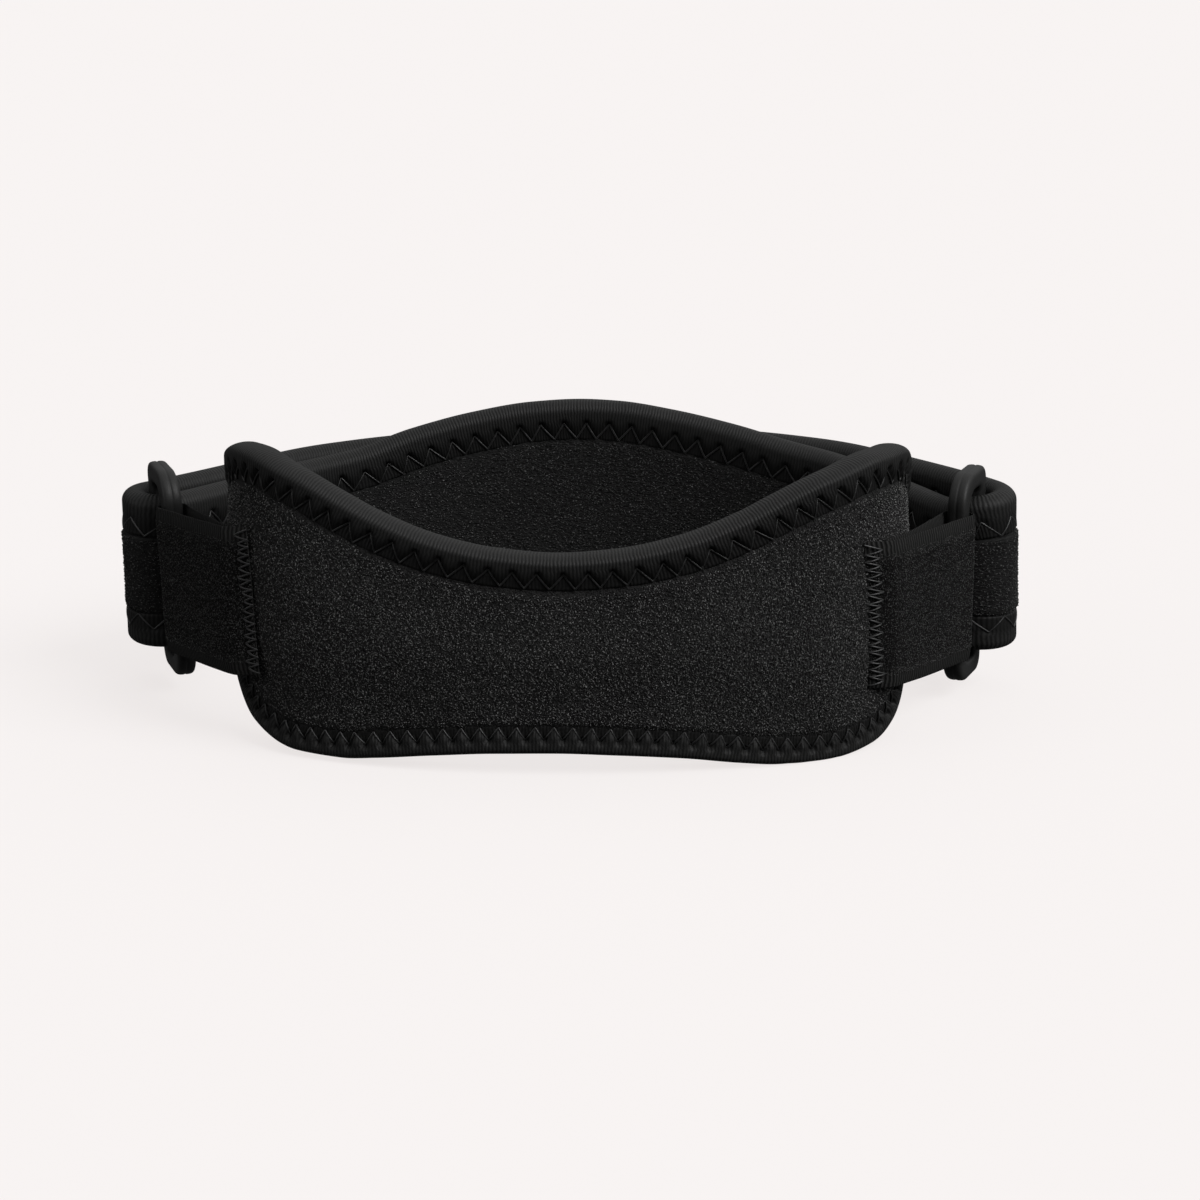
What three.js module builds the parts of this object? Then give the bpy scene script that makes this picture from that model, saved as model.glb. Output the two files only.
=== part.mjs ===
// Knee support, worn as a strap below the kneecap.
// A waisted foam pad covers the front of the knee and a foam band closes the loop behind it. Both have their
// whole edge bound with folded stretch tape. At each side a doubled elastic, sewn to the face of the pad,
// holds a plastic ring, and the band threads through the ring, folds back outside and grips on a hook patch.
//
// Millimetres, +Z up. The pad faces -Y. The support stands on its lower edges, and the origin is the middle
// of its footprint. It is the same left and right of X = 0, so paths are worked out for the +X half.

import * as THREE from "three";

const { degToRad, clamp, lerp } = THREE.MathUtils;

// Driving dimensions
const GAP = 0.3; // left between pieces that touch
const SIDES = { left: -1, right: 1 };
const ELASTIC_HEIGHT = 26; // middle of the elastics, the rings and the ends of the band

// Edge binding, folded over the cut edge
const TAPE_THICKNESS = 0.8;
const TAPE_REACH = GAP + TAPE_THICKNESS; // how far the binding stands outside what it binds

const PAD = {
  thickness: 4.4,
  upperLeg: 6, // how far the binding reaches down from the upper edge
  lowerLeg: 4.6, // and up from the lower edge
  crown: 0.9, // how far the middle of the face bulges
  reach: 50.7, // from the origin forward to the middle of the wall
  bowRadius: 133,
  bowTurn: degToRad(21.6),
  sideRadius: 29.5,
  halfLength: 93,
  topCorner: 8,
  bottomCorner: 8,
};

// The pad's cut edge, by the distance along it from the middle. Its ends turn out of sight round the knee and
// narrow as they do, most of all from below.
const PAD_SECTIONS = [
  { along: 0, bottom: 5, top: 42.4 },
  { along: 12, bottom: 4.6, top: 43.2 },
  { along: 24, bottom: 3.6, top: 45.5 },
  { along: 36, bottom: 1.9, top: 49.6 },
  { along: 43, bottom: TAPE_REACH, top: 52.7 },
  { along: 53, bottom: 1.6, top: 56.4 },
  { along: 65, bottom: 4.8, top: 58.7 },
  { along: 72, bottom: 8.8, top: 58.5 },
  { along: 77, bottom: 13.2, top: 57.9 },
  { along: 82, bottom: 19, top: 56.8 },
  { along: 87, bottom: 25.6, top: 55 },
  { along: 94, bottom: 29, top: 51 },
];

const BAND = {
  thickness: 3.8,
  upperLeg: 7.2,
  lowerLeg: 6.4,
  reach: 47.6, // from the origin back to the middle of the wall
  bowRadius: 128,
  bowTurn: degToRad(24),
  sideRadius: 29.5,
  freeEnd: degToRad(12), // where the folded-back end stops, as a turn of the bow
  endCorner: 10,
};

// The band's cut edge: deepest behind the knee, where it stands on its lower edge, then level through the
// ring, and a little higher again towards the folded-back end
const BAND_SECTIONS = [
  { along: 0, bottom: TAPE_REACH, top: 52 },
  { along: 9, bottom: TAPE_REACH, top: 51.4 },
  { along: 22, bottom: 4.4, top: 49.1 },
  { along: 36, bottom: 8.4, top: 46 },
  { along: 50, bottom: 10.1, top: 42.6 },
  { along: 62, bottom: 10.3, top: 41.7 },
  { along: 125, bottom: 10.3, top: 41.7 },
  { along: 180, bottom: 12, top: 43.8 },
];

const LAYER_PITCH = BAND.thickness + 2 * TAPE_REACH + 0.4; // from the band to its folded-back end

const RING = {
  height: 45,
  bar: 4.2,
  barPitch: 12.8, // between the near bar, in the elastic, and the far bar, in the band's fold
  near: new THREE.Vector2(82, -4.1),
  turn: degToRad(69), // direction from the near bar to the far bar
  corner: 5.5,
  slotCorner: 2,
  edge: 1.9, // rounding of the bars
};

const ELASTIC = {
  width: 29,
  thickness: 1.3,
  sewnFrom: degToRad(42.5), // where its ends lie on the pad, as the heading of the pad there
  rise: 2.6, // how much higher its sewn ends lie than the ring
};

const HOOK_PATCH = {
  thickness: LAYER_PITCH - BAND.thickness - 2 * GAP,
  height: 15,
  from: degToRad(16.5),
  to: degToRad(44),
};

// How finely the solids are faceted
const SAG = 0.07; // how far a facet may cut inside the true arc
const RUN_STEP = 9;
const CORNER_STEPS = 4;

const MATERIALS = {
  pile: new THREE.MeshStandardMaterial({ color: 0x1b1b1c, roughness: 0.95, metalness: 0 }),
  binding: new THREE.MeshStandardMaterial({ color: 0x161617, roughness: 0.7, metalness: 0 }),
  webbing: new THREE.MeshStandardMaterial({ color: 0x171718, roughness: 0.85, metalness: 0 }),
  plastic: new THREE.MeshStandardMaterial({ color: 0x141415, roughness: 0.45, metalness: 0 }),
  hook: new THREE.MeshStandardMaterial({ color: 0x121213, roughness: 0.6, metalness: 0 }),
};

// Paths seen from above

// A circle that a path wraps round, turning left if the radius is positive and right if it is negative.
const circle = (x, y, radius) => ({ centre: new THREE.Vector2(x, y), radius });

const direction = (heading) => new THREE.Vector2(Math.cos(heading), Math.sin(heading));
const rightOf = (heading) => new THREE.Vector2(Math.sin(heading), -Math.cos(heading));
const touchPoint = ({ centre, radius }, heading) => rightOf(heading).multiplyScalar(radius).add(centre);

// Heading of the straight run that leaves one circle and meets the next.
function runHeading(from, to) {
  const between = to.centre.clone().sub(from.centre);
  const lean = clamp((from.radius - to.radius) / between.length(), -1, 1);
  return between.angle() + Math.asin(lean);
}

// The same angle, brought to within half a turn of another.
const nearAngle = (angle, other) => angle - 2 * Math.PI * Math.round((angle - other) / (2 * Math.PI));

// A path that wraps round a row of circles as a belt does, with straight runs between them.
class Belt {
  constructor(circles, startHeading, endHeading) {
    this.legs = [];
    let heading = startHeading;
    circles.forEach((round, i) => {
      const next = circles[i + 1];
      const halfTurnOn = heading + Math.sign(round.radius) * (Math.PI - 0.1);
      const leave = nearAngle(next ? runHeading(round, next) : endHeading, halfTurnOn);
      this.legs.push({ round, heading, turn: leave - heading, length: round.radius * (leave - heading) });
      if (next) {
        const start = touchPoint(round, leave);
        this.legs.push({ start, heading: leave, turn: 0, length: start.distanceTo(touchPoint(next, leave)) });
      }
      heading = leave;
    });
    this.legs = this.legs.filter((leg) => leg.length > 1e-3);
    this.length = this.legs.reduce((sum, leg) => sum + leg.length, 0);
  }

  // Place and heading at a distance along the path, which goes on straight past its end.
  at(distance) {
    let rest = Math.min(distance, this.length);
    let i = 0;
    while (i < this.legs.length - 1 && rest > this.legs[i].length) {
      rest -= this.legs[i].length;
      i += 1;
    }
    const leg = this.legs[i];
    const heading = leg.heading + (leg.turn * rest) / leg.length;
    const forward = direction(heading);
    const onRun = () => leg.start.clone().addScaledVector(forward, rest);
    const place = leg.round ? touchPoint(leg.round, heading) : onRun();
    place.addScaledVector(forward, Math.max(0, distance - this.length));
    return { place, heading };
  }

  // Distances at which a solid along the path gets a section.
  stations() {
    let begun = 0;
    const found = [0];
    for (const leg of this.legs) {
      const arcStep = leg.round ? 2 * Math.acos(1 - SAG / Math.abs(leg.round.radius)) : Infinity;
      const steps = Math.ceil(Math.max(Math.abs(leg.turn) / arcStep, leg.length / RUN_STEP));
      for (let i = 1; i <= steps; i++) found.push(begun + (leg.length * i) / steps);
      begun += leg.length;
    }
    return found;
  }
}

// Circles of the pad's path, and of what lies on the pad at a distance outside the middle of its wall
const padBowCentre = new THREE.Vector2(0, PAD.bowRadius - PAD.reach);
const padSideCentre = touchPoint(
  { centre: padBowCentre, radius: PAD.bowRadius - PAD.sideRadius },
  PAD.bowTurn,
);
const padSide = (outside) => circle(padSideCentre.x, padSideCentre.y, PAD.sideRadius + outside);

const padPath = new Belt(
  [circle(padBowCentre.x, padBowCentre.y, PAD.bowRadius), padSide(0)],
  0,
  PAD.bowTurn + (PAD.halfLength - PAD.bowRadius * PAD.bowTurn) / PAD.sideRadius,
);

// The ring's far bar, which the band folds round
const farBar = RING.near.clone().addScaledVector(direction(RING.turn), RING.barPitch);
const foldRadius = RING.bar / 2 + GAP + TAPE_REACH + BAND.thickness / 2;

// Circles of the band's path, at a distance outside it. A turn of -1 runs from behind the knee to the ring,
// and a turn of 1 runs back from the ring.
const bandBowCentre = new THREE.Vector2(0, BAND.reach - BAND.bowRadius);
const bandSideCentre = touchPoint(
  { centre: bandBowCentre, radius: BAND.sideRadius - BAND.bowRadius },
  -BAND.bowTurn,
);
const bandBow = (outside, turn) =>
  circle(bandBowCentre.x, bandBowCentre.y, turn * (BAND.bowRadius + outside));
const bandSide = (outside, turn) =>
  circle(bandSideCentre.x, bandSideCentre.y, turn * (BAND.sideRadius + outside));

const bandPath = new Belt(
  [
    bandBow(0, -1),
    bandSide(0, -1),
    circle(farBar.x, farBar.y, foldRadius),
    bandSide(LAYER_PITCH, 1),
    bandBow(LAYER_PITCH, 1),
  ],
  0,
  Math.PI - BAND.freeEnd,
);

// Flat patterns bent along a path

// A column of a table of sections at a distance along the piece, on a smooth curve through its rows.
function columnAt(rows, column, along) {
  const i = clamp(rows.findLastIndex((row) => row.along <= along), 0, rows.length - 2);
  const slope = (a, b) => (rows[b][column] - rows[a][column]) / (rows[b].along - rows[a].along);
  const slopeAt = (k) => {
    if (k === 0 || k === rows.length - 1) return 0;
    const before = slope(k - 1, k);
    const after = slope(k, k + 1);
    return before * after <= 0 ? 0 : (2 * before * after) / (before + after);
  };
  const span = rows[i + 1].along - rows[i].along;
  const t = clamp((along - rows[i].along) / span, 0, 1);
  const rise = slope(i, i + 1) * span;
  const bend = t * (1 - t) * (slopeAt(i) * span * (1 - t) - slopeAt(i + 1) * span * t);
  return rows[i][column] + rise * t * t * (3 - 2 * t) + bend;
}

// How far a round corner takes the edge in, at a distance from the end of the piece.
function cornerDrop(radius, fromEnd) {
  const into = clamp(radius - fromEnd, 0, radius);
  return radius - Math.sqrt(radius * radius - into * into);
}

// A piece cut flat: its half length, its lower and upper edges, and the distances that get a section.
function flatPattern(path, rows, bottomCorner, topCorner) {
  const edges = (along) => {
    const fromEnd = path.length - Math.abs(along);
    return {
      bottom: columnAt(rows, "bottom", Math.abs(along)) + cornerDrop(bottomCorner, fromEnd),
      top: columnAt(rows, "top", Math.abs(along)) - cornerDrop(topCorner, fromEnd),
    };
  };
  const corners = [];
  for (const radius of [bottomCorner, topCorner]) {
    for (let i = 0; i < CORNER_STEPS; i++) {
      const turned = (i / CORNER_STEPS) * (Math.PI / 2);
      corners.push(path.length - radius * (1 - Math.sin(turned)));
    }
  }
  const kept = new Set([0, path.length, ...rows.map((row) => row.along).filter((s) => s < path.length)]);
  const apart = 1.5; // a station nearer than this to one that is kept is left out
  const half = [...path.stations(), ...corners]
    .filter((s) => [...kept].every((k) => Math.abs(s - k) > apart))
    .concat([...kept])
    .sort((a, b) => a - b);
  const stations = [...half.slice(1).map((s) => -s).reverse(), ...half];
  return { edges, stations, halfLength: path.length };
}

// Bends a flat pattern along a path and its mirror image. Outward is 1 to the path's right, -1 to its left.
function bender(path, outward) {
  return (along, height, outside) => {
    const { place, heading } = path.at(Math.abs(along));
    place.addScaledVector(rightOf(heading), outward * outside);
    return new THREE.Vector3(along < 0 ? -place.x : place.x, place.y, height);
  };
}

const bendPad = bender(padPath, 1);
const bendBand = bender(bandPath, -1);
const padPattern = flatPattern(padPath, PAD_SECTIONS, PAD.bottomCorner, PAD.topCorner);
const bandPattern = flatPattern(bandPath, BAND_SECTIONS, BAND.endCorner, BAND.endCorner);

// Solids

// A closed solid through rows of points, each row a section. A loop of sections closes on itself, and an open
// run of sections is closed by its first and last section.
function loft(sections, isLoop, inside) {
  const size = sections[0].length;
  const index = [];
  const last = isLoop ? sections.length : sections.length - 1;
  const face = (a, b, c) => (inside ? index.push(a, c, b) : index.push(a, b, c));
  for (let i = 0; i < last; i++) {
    const here = i * size;
    const next = ((i + 1) % sections.length) * size;
    for (let k = 0; k < size; k++) {
      const l = (k + 1) % size;
      face(here + k, next + k, next + l);
      face(here + k, next + l, here + l);
    }
  }
  if (!isLoop) {
    const end = (sections.length - 1) * size;
    for (let k = 1; k < size - 1; k++) {
      face(0, k, k + 1);
      face(end, end + k + 1, end + k);
    }
  }
  const geometry = new THREE.BufferGeometry().setFromPoints(sections.flat());
  geometry.setIndex(index);
  geometry.computeVertexNormals();
  return geometry;
}

// The foam wall of a flat pattern. Its outer face is crowned, save near its ends and under the binding.
function foamWall(bend, { edges, stations, halfLength }, thickness, crown) {
  const half = thickness / 2;
  const flatEnd = 11; // length at each end with no crown
  const crownRise = 8; // length over which the crown then rises
  const sections = stations.map((along) => {
    const { bottom, top } = edges(along);
    const bulge = crown * clamp((halfLength - Math.abs(along) - flatEnd) / crownRise, 0, 1);
    const at = (share, outside) => bend(along, lerp(bottom, top, share), outside);
    const outerFace = [at(0, half), at(0.25, half), at(0.5, half + bulge), at(0.75, half), at(1, half)];
    return [at(0, -half), ...outerFace, at(1, -half)];
  });
  return loft(sections, false, bend === bendBand);
}

// The section of the folded tape: how far inside the cut edge, and how far outside the middle of the wall.
function tapeSection(thickness, leg) {
  const inner = thickness / 2 + GAP;
  const outer = inner + TAPE_THICKNESS;
  return [
    { inset: leg, outside: outer },
    { inset: leg / 2, outside: outer },
    { inset: 0, outside: outer },
    { inset: -TAPE_REACH, outside: outer - TAPE_REACH },
    { inset: -TAPE_REACH, outside: TAPE_REACH - outer },
    { inset: 0, outside: -outer },
    { inset: leg, outside: -outer },
    { inset: leg, outside: -inner },
    { inset: -GAP, outside: -inner },
    { inset: -GAP, outside: inner },
    { inset: leg / 2, outside: inner },
    { inset: leg, outside: inner },
  ];
}

// The tape folded over the whole edge of a flat pattern.
function edgeBinding(bend, { edges, stations }, { thickness, upperLeg, lowerLeg }) {
  const upperSection = tapeSection(thickness, upperLeg);
  const lowerSection = tapeSection(thickness, lowerLeg);
  const upper = stations.map((along) => ({ x: along, y: edges(along).top, section: upperSection }));
  const lower = stations.map((along) => ({ x: along, y: edges(along).bottom, section: lowerSection }));
  const outline = [...upper, ...lower.reverse()];
  const sections = outline.map(({ x, y, section }, i) => {
    const before = outline.at(i - 1);
    const after = outline[(i + 1) % outline.length];
    const inward = new THREE.Vector2(after.y - before.y, before.x - after.x).normalize();
    return section.map(({ inset, outside }) => bend(x + inset * inward.x, y + inset * inward.y, outside));
  });
  return loft(sections, true, bend === bendBand);
}

// A strap of even height and thickness along a path, on one side of the knee. Its ends rise above its middle.
function strap(path, height, thickness, rise, side) {
  const half = thickness / 2;
  const sections = path.stations().map((distance) => {
    const { place, heading } = path.at(distance);
    const middle = ELASTIC_HEIGHT + rise * Math.abs(1 - (2 * distance) / path.length);
    const bottom = middle - height / 2;
    const top = middle + height / 2;
    const across = rightOf(heading);
    const inner = place.clone().addScaledVector(across, -half);
    const outer = place.clone().addScaledVector(across, half);
    const at = (point, z) => new THREE.Vector3(side * point.x, point.y, z);
    return [at(inner, bottom), at(outer, bottom), at(outer, top), at(inner, top)];
  });
  return loft(sections, false, side < 0);
}

// The doubled elastic: out along the face of the pad, round the ring's near bar, and back under itself.
function elasticPath() {
  const lie = PAD.thickness / 2 + TAPE_REACH + GAP + ELASTIC.thickness / 2;
  const over = lie + ELASTIC.thickness + GAP;
  const wrap = RING.bar / 2 + GAP + ELASTIC.thickness / 2;
  const back = padSide(lie);
  return new Belt(
    [padSide(over), circle(RING.near.x, RING.near.y, wrap), { ...back, radius: -back.radius }],
    ELASTIC.sewnFrom,
    ELASTIC.sewnFrom + Math.PI,
  );
}

// The hook patch between the band and its folded-back end.
const hookPatchPath = new Belt(
  [bandBow(LAYER_PITCH / 2, -1), bandSide(LAYER_PITCH / 2, -1)],
  -HOOK_PATCH.from,
  -HOOK_PATCH.to,
);

// A rectangle with round corners, drawn on a shape or on a hole in one.
function roundedRectangle(shape, width, height, corner) {
  const x = width / 2 - corner;
  const y = height / 2 - corner;
  const quarter = Math.PI / 2;
  shape.absarc(x, y, corner, 0, quarter);
  shape.absarc(-x, y, corner, quarter, 2 * quarter);
  shape.absarc(-x, -y, corner, 2 * quarter, 3 * quarter);
  shape.absarc(x, -y, corner, 3 * quarter, 4 * quarter);
  shape.closePath();
  return shape;
}

// The moulded ring, lying in its own XY plane with its bars upright along Y.
function ringGeometry() {
  const width = RING.barPitch + RING.bar;
  const shape = roundedRectangle(new THREE.Shape(), width, RING.height, RING.corner);
  const slotHeight = RING.height - 2 * RING.bar;
  shape.holes.push(roundedRectangle(new THREE.Path(), width - 2 * RING.bar, slotHeight, RING.slotCorner));
  const geometry = new THREE.ExtrudeGeometry(shape, {
    depth: RING.bar - 2 * RING.edge,
    bevelThickness: RING.edge,
    bevelSize: RING.edge,
    bevelOffset: -RING.edge,
    bevelSegments: 2,
    curveSegments: 4,
  });
  return geometry.translate(0, 0, RING.edge - RING.bar / 2);
}

function named(name, geometry, material) {
  const mesh = new THREE.Mesh(geometry, material);
  mesh.name = name;
  return mesh;
}

function ring(sideName, side) {
  const mesh = named(`ring_${sideName}`, ringGeometry(), MATERIALS.plastic);
  const middle = RING.near.clone().add(farBar).multiplyScalar(0.5);
  mesh.position.set(side * middle.x, middle.y, ELASTIC_HEIGHT);
  mesh.rotation.set(Math.PI / 2, 0, side > 0 ? RING.turn : Math.PI - RING.turn, "ZYX");
  return mesh;
}

// Assembly
const kneeSupport = new THREE.Group();
kneeSupport.name = "knee_support";
kneeSupport.add(
  named("front_pad", foamWall(bendPad, padPattern, PAD.thickness, PAD.crown), MATERIALS.pile),
  named("front_binding", edgeBinding(bendPad, padPattern, PAD), MATERIALS.binding),
  named("back_band", foamWall(bendBand, bandPattern, BAND.thickness, 0), MATERIALS.pile),
  named("back_binding", edgeBinding(bendBand, bandPattern, BAND), MATERIALS.binding),
);
for (const [sideName, side] of Object.entries(SIDES)) {
  const elastic = strap(elasticPath(), ELASTIC.width, ELASTIC.thickness, ELASTIC.rise, side);
  const patch = strap(hookPatchPath, HOOK_PATCH.height, HOOK_PATCH.thickness, 0, side);
  kneeSupport.add(
    named(`elastic_${sideName}`, elastic, MATERIALS.webbing),
    ring(sideName, side),
    named(`hook_patch_${sideName}`, patch, MATERIALS.hook),
  );
}

export default kneeSupport;
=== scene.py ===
"""Dresses the knee support: loop pile on foam, folded stretch binding sewn with zigzag thread, doubled
elastic, moulded rings and hook patches, on a plain floor under soft light."""
import math

import bmesh
import bpy
import numpy as np
from bpy.props import FloatProperty, FloatVectorProperty, IntProperty, PointerProperty
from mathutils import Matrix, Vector, noise


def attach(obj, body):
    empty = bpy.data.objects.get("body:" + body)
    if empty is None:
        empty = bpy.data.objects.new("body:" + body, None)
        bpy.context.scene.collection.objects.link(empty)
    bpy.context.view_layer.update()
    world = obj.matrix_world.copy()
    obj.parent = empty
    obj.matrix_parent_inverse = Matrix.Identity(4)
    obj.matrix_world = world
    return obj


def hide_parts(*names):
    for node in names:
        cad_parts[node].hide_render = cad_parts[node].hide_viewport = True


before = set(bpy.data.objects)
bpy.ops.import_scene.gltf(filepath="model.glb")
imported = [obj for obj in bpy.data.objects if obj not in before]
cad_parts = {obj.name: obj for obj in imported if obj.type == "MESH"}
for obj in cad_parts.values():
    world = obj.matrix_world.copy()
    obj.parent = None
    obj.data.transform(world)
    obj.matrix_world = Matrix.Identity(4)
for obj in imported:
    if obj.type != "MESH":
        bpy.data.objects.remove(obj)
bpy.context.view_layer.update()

bl_info = {
    "name": "Knee Support",
    "version": (1, 0, 0),
    "blender": (4, 5, 0),
    "location": "3D View > Sidebar > Knee Support",
    "description": "Builds a foam knee support with bound and sewn edges, elastic and rings",
    "category": "Object",
}

MM = 0.001
BODY = "root"
SIDES = {"left": -1, "right": 1}

# The cut edges of the pad and of the band, in millimetres, by the distance along them to the right of the
# middle. Sewn by hand and eye, the two halves differ a little.
PAD_EDGES = (
    {"along": -94, "bottom": 28.6, "top": 48.0},
    {"along": -87, "bottom": 28.0, "top": 51.8},
    {"along": -82, "bottom": 23.0, "top": 55.2},
    {"along": -77, "bottom": 16.5, "top": 57.4},
    {"along": -72, "bottom": 10.8, "top": 58.7},
    {"along": -65, "bottom": 5.5, "top": 59.2},
    {"along": -53, "bottom": 2.1, "top": 56.7},
    {"along": -43, "bottom": 1.9, "top": 52.7},
    {"along": -36, "bottom": 2.6, "top": 49.6},
    {"along": -24, "bottom": 4.1, "top": 45.5},
    {"along": -12, "bottom": 5.1, "top": 43.2},
    {"along": 0, "bottom": 5.4, "top": 42.4},
    {"along": 12, "bottom": 4.9, "top": 43.2},
    {"along": 24, "bottom": 3.9, "top": 45.5},
    {"along": 36, "bottom": 2.1, "top": 49.6},
    {"along": 43, "bottom": 1.2, "top": 52.7},
    {"along": 53, "bottom": 0.8, "top": 56.4},
    {"along": 65, "bottom": 1.8, "top": 58.8},
    {"along": 72, "bottom": 4.2, "top": 58.7},
    {"along": 77, "bottom": 7.6, "top": 58.0},
    {"along": 82, "bottom": 13.0, "top": 55.2},
    {"along": 87, "bottom": 20.0, "top": 51.6},
    {"along": 94, "bottom": 25.5, "top": 48.5},
)
BAND_EDGES = (
    {"along": -191, "bottom": 12.0, "top": 44.0},
    {"along": -150, "bottom": 10.8, "top": 42.4},
    {"along": -120, "bottom": 10.5, "top": 41.3},
    {"along": -112, "bottom": 10.5, "top": 41.2},
    {"along": -102, "bottom": 10.5, "top": 40.7},
    {"along": -62, "bottom": 10.4, "top": 41.3},
    {"along": -50, "bottom": 10.1, "top": 42.5},
    {"along": -36, "bottom": 8.4, "top": 46.5},
    {"along": -22, "bottom": 4.4, "top": 49.7},
    {"along": -9, "bottom": 1.3, "top": 51.7},
    {"along": 2, "bottom": 1.1, "top": 52.3},
    {"along": 10, "bottom": 1.3, "top": 52.0},
    {"along": 22, "bottom": 4.4, "top": 50.4},
    {"along": 36, "bottom": 8.4, "top": 47.8},
    {"along": 50, "bottom": 10.1, "top": 44.8},
    {"along": 62, "bottom": 10.5, "top": 43.2},
    {"along": 84, "bottom": 10.8, "top": 40.8},
    {"along": 95, "bottom": 11.0, "top": 39.8},
    {"along": 103, "bottom": 11.0, "top": 41.4},
    {"along": 112, "bottom": 11.0, "top": 42.3},
    {"along": 120, "bottom": 11.0, "top": 43.0},
    {"along": 150, "bottom": 11.2, "top": 44.3},
    {"along": 191, "bottom": 12.0, "top": 45.2},
)


# Settings

def length(name, description, millimetres):
    """A length that a user may change, shown in the scene's units."""
    return FloatProperty(
        name=name,
        description=description,
        default=millimetres * MM,
        subtype="DISTANCE",
        unit="LENGTH",
        precision=5,
    )


def turn(name, description, degrees):
    """An angle that a user may change."""
    return FloatProperty(name=name, description=description, default=math.radians(degrees), subtype="ANGLE")


def share(name, description, default):
    """A plain number from 0 up."""
    return FloatProperty(name=name, description=description, default=default, min=0.0)


def count(name, description, default):
    """A whole number."""
    return IntProperty(name=name, description=description, default=default, min=0)


def colour(name, description, default):
    """A linear colour that a user may change."""
    return FloatVectorProperty(
        name=name, description=description, default=default, size=3, min=0.0, max=1.0, subtype="COLOR"
    )


class PadSizes(bpy.types.PropertyGroup):
    """Sizes of the front pad."""

    thickness: length("Thickness", "Foam wall", 4.4)
    upper_leg: length("Upper leg", "How far the binding reaches down from the upper edge", 6.0)
    lower_leg: length("Lower leg", "How far the binding reaches up from the lower edge", 4.6)
    upper_seam: length("Upper seam", "From the holes beside the upper roll to the edge of the tape", 3.9)
    lower_seam: length("Lower seam", "From the holes beside the lower roll to the edge of the tape", 2.9)
    narrowing: length("Narrowing", "How much less the binding reaches down in the middle", 0.7)
    left_tuck: length("Left tuck", "How far the left side is drawn in", 2.5)
    right_tuck: length("Right tuck", "How far the right side is drawn in", 0.8)
    right_splay: length("Right splay", "How far the lower edge stands out at the right fold", 0.0)
    fullness: length("Fullness", "How far the roll stands out from the face", 1.4)
    crown: length("Crown", "How far the middle of the face bulges", 1.3)
    puff: length("Puff", "How far the face swells beside the binding", 0.75)
    reach: length("Reach", "From the origin forward to the middle of the wall", 50.7)
    bow_radius: length("Bow radius", "Bend of the wide middle", 133)
    bow_turn: turn("Bow turn", "How far the wide middle turns", 21.6)
    side_radius: length("Side radius", "Bend of the sides", 29.5)
    half_length: length("Half length", "From the middle to the end, along the wall", 93)
    end_corner: length("End corner", "Corner radius of the ends", 8)
    upper_zigzag: length("Upper zigzag", "Length of one zigzag along the upper edge", 4.6)
    lower_zigzag: length("Lower zigzag", "Length of one zigzag along the lower edge", 3.5)


class BandSizes(bpy.types.PropertyGroup):
    """Sizes of the back band."""

    thickness: length("Thickness", "Foam wall", 3.8)
    upper_leg: length("Upper leg", "How far the binding reaches down from the upper edge", 7.3)
    lower_leg: length("Lower leg", "How far the binding reaches up from the lower edge", 6.4)
    upper_seam: length("Upper seam", "From the holes beside the upper roll to the edge of the tape", 3.8)
    lower_seam: length("Lower seam", "From the holes beside the lower roll to the edge of the tape", 3.4)
    narrowing: length("Narrowing", "How much less the binding reaches down in the middle", 0.0)
    left_tuck: length("Left tuck", "How far the left side is drawn in", 0.4)
    right_tuck: length("Right tuck", "How far the right side is drawn in", 0.0)
    right_splay: length("Right splay", "How far the lower edge stands out at the right fold", 1.0)
    fullness: length("Fullness", "How far the roll stands out from the face", 1.2)
    puff: length("Puff", "How far the faces swell beside the binding", 0.4)
    reach: length("Reach", "From the origin back to the middle of the wall", 47.6)
    bow_radius: length("Bow radius", "Bend behind the knee", 128)
    bow_turn: turn("Bow turn", "How far the back turns", 24)
    side_radius: length("Side radius", "Bend towards the rings", 29.5)
    free_end: turn("Free end", "Where the folded-back end stops", 12)
    end_corner: length("End corner", "Corner radius of the ends", 10)
    upper_zigzag: length("Upper zigzag", "Length of one zigzag along the upper edge", 5.3)
    lower_zigzag: length("Lower zigzag", "Length of one zigzag along the lower edge", 5.0)
    fold_from_middle: length("Fold", "Where the band folds round the far bar, along it from the middle", 109)
    fold_puff: length("Fold puff", "How far the face swells round the fold", 0.9)
    layer_slack: length("Layer slack", "Extra room between the band and its folded-back end", 0.4)


class TapeSizes(bpy.types.PropertyGroup):
    """Sizes of the edge binding and its zigzag seam."""

    thickness: length("Thickness", "Tape", 0.8)
    clearance: length("Clearance", "Between the tape and the foam", 0.3)
    overhang: length("Overhang", "How far the roll stands beyond the cut edge", 1.5)
    ledge: length("Ledge", "How far the sewn strip stands out from the face", 0.65)
    thread: length("Thread", "Thread thickness", 0.38)
    dimple: length("Dimple", "How deep each stitch pulls the tape in", 0.8)


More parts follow.
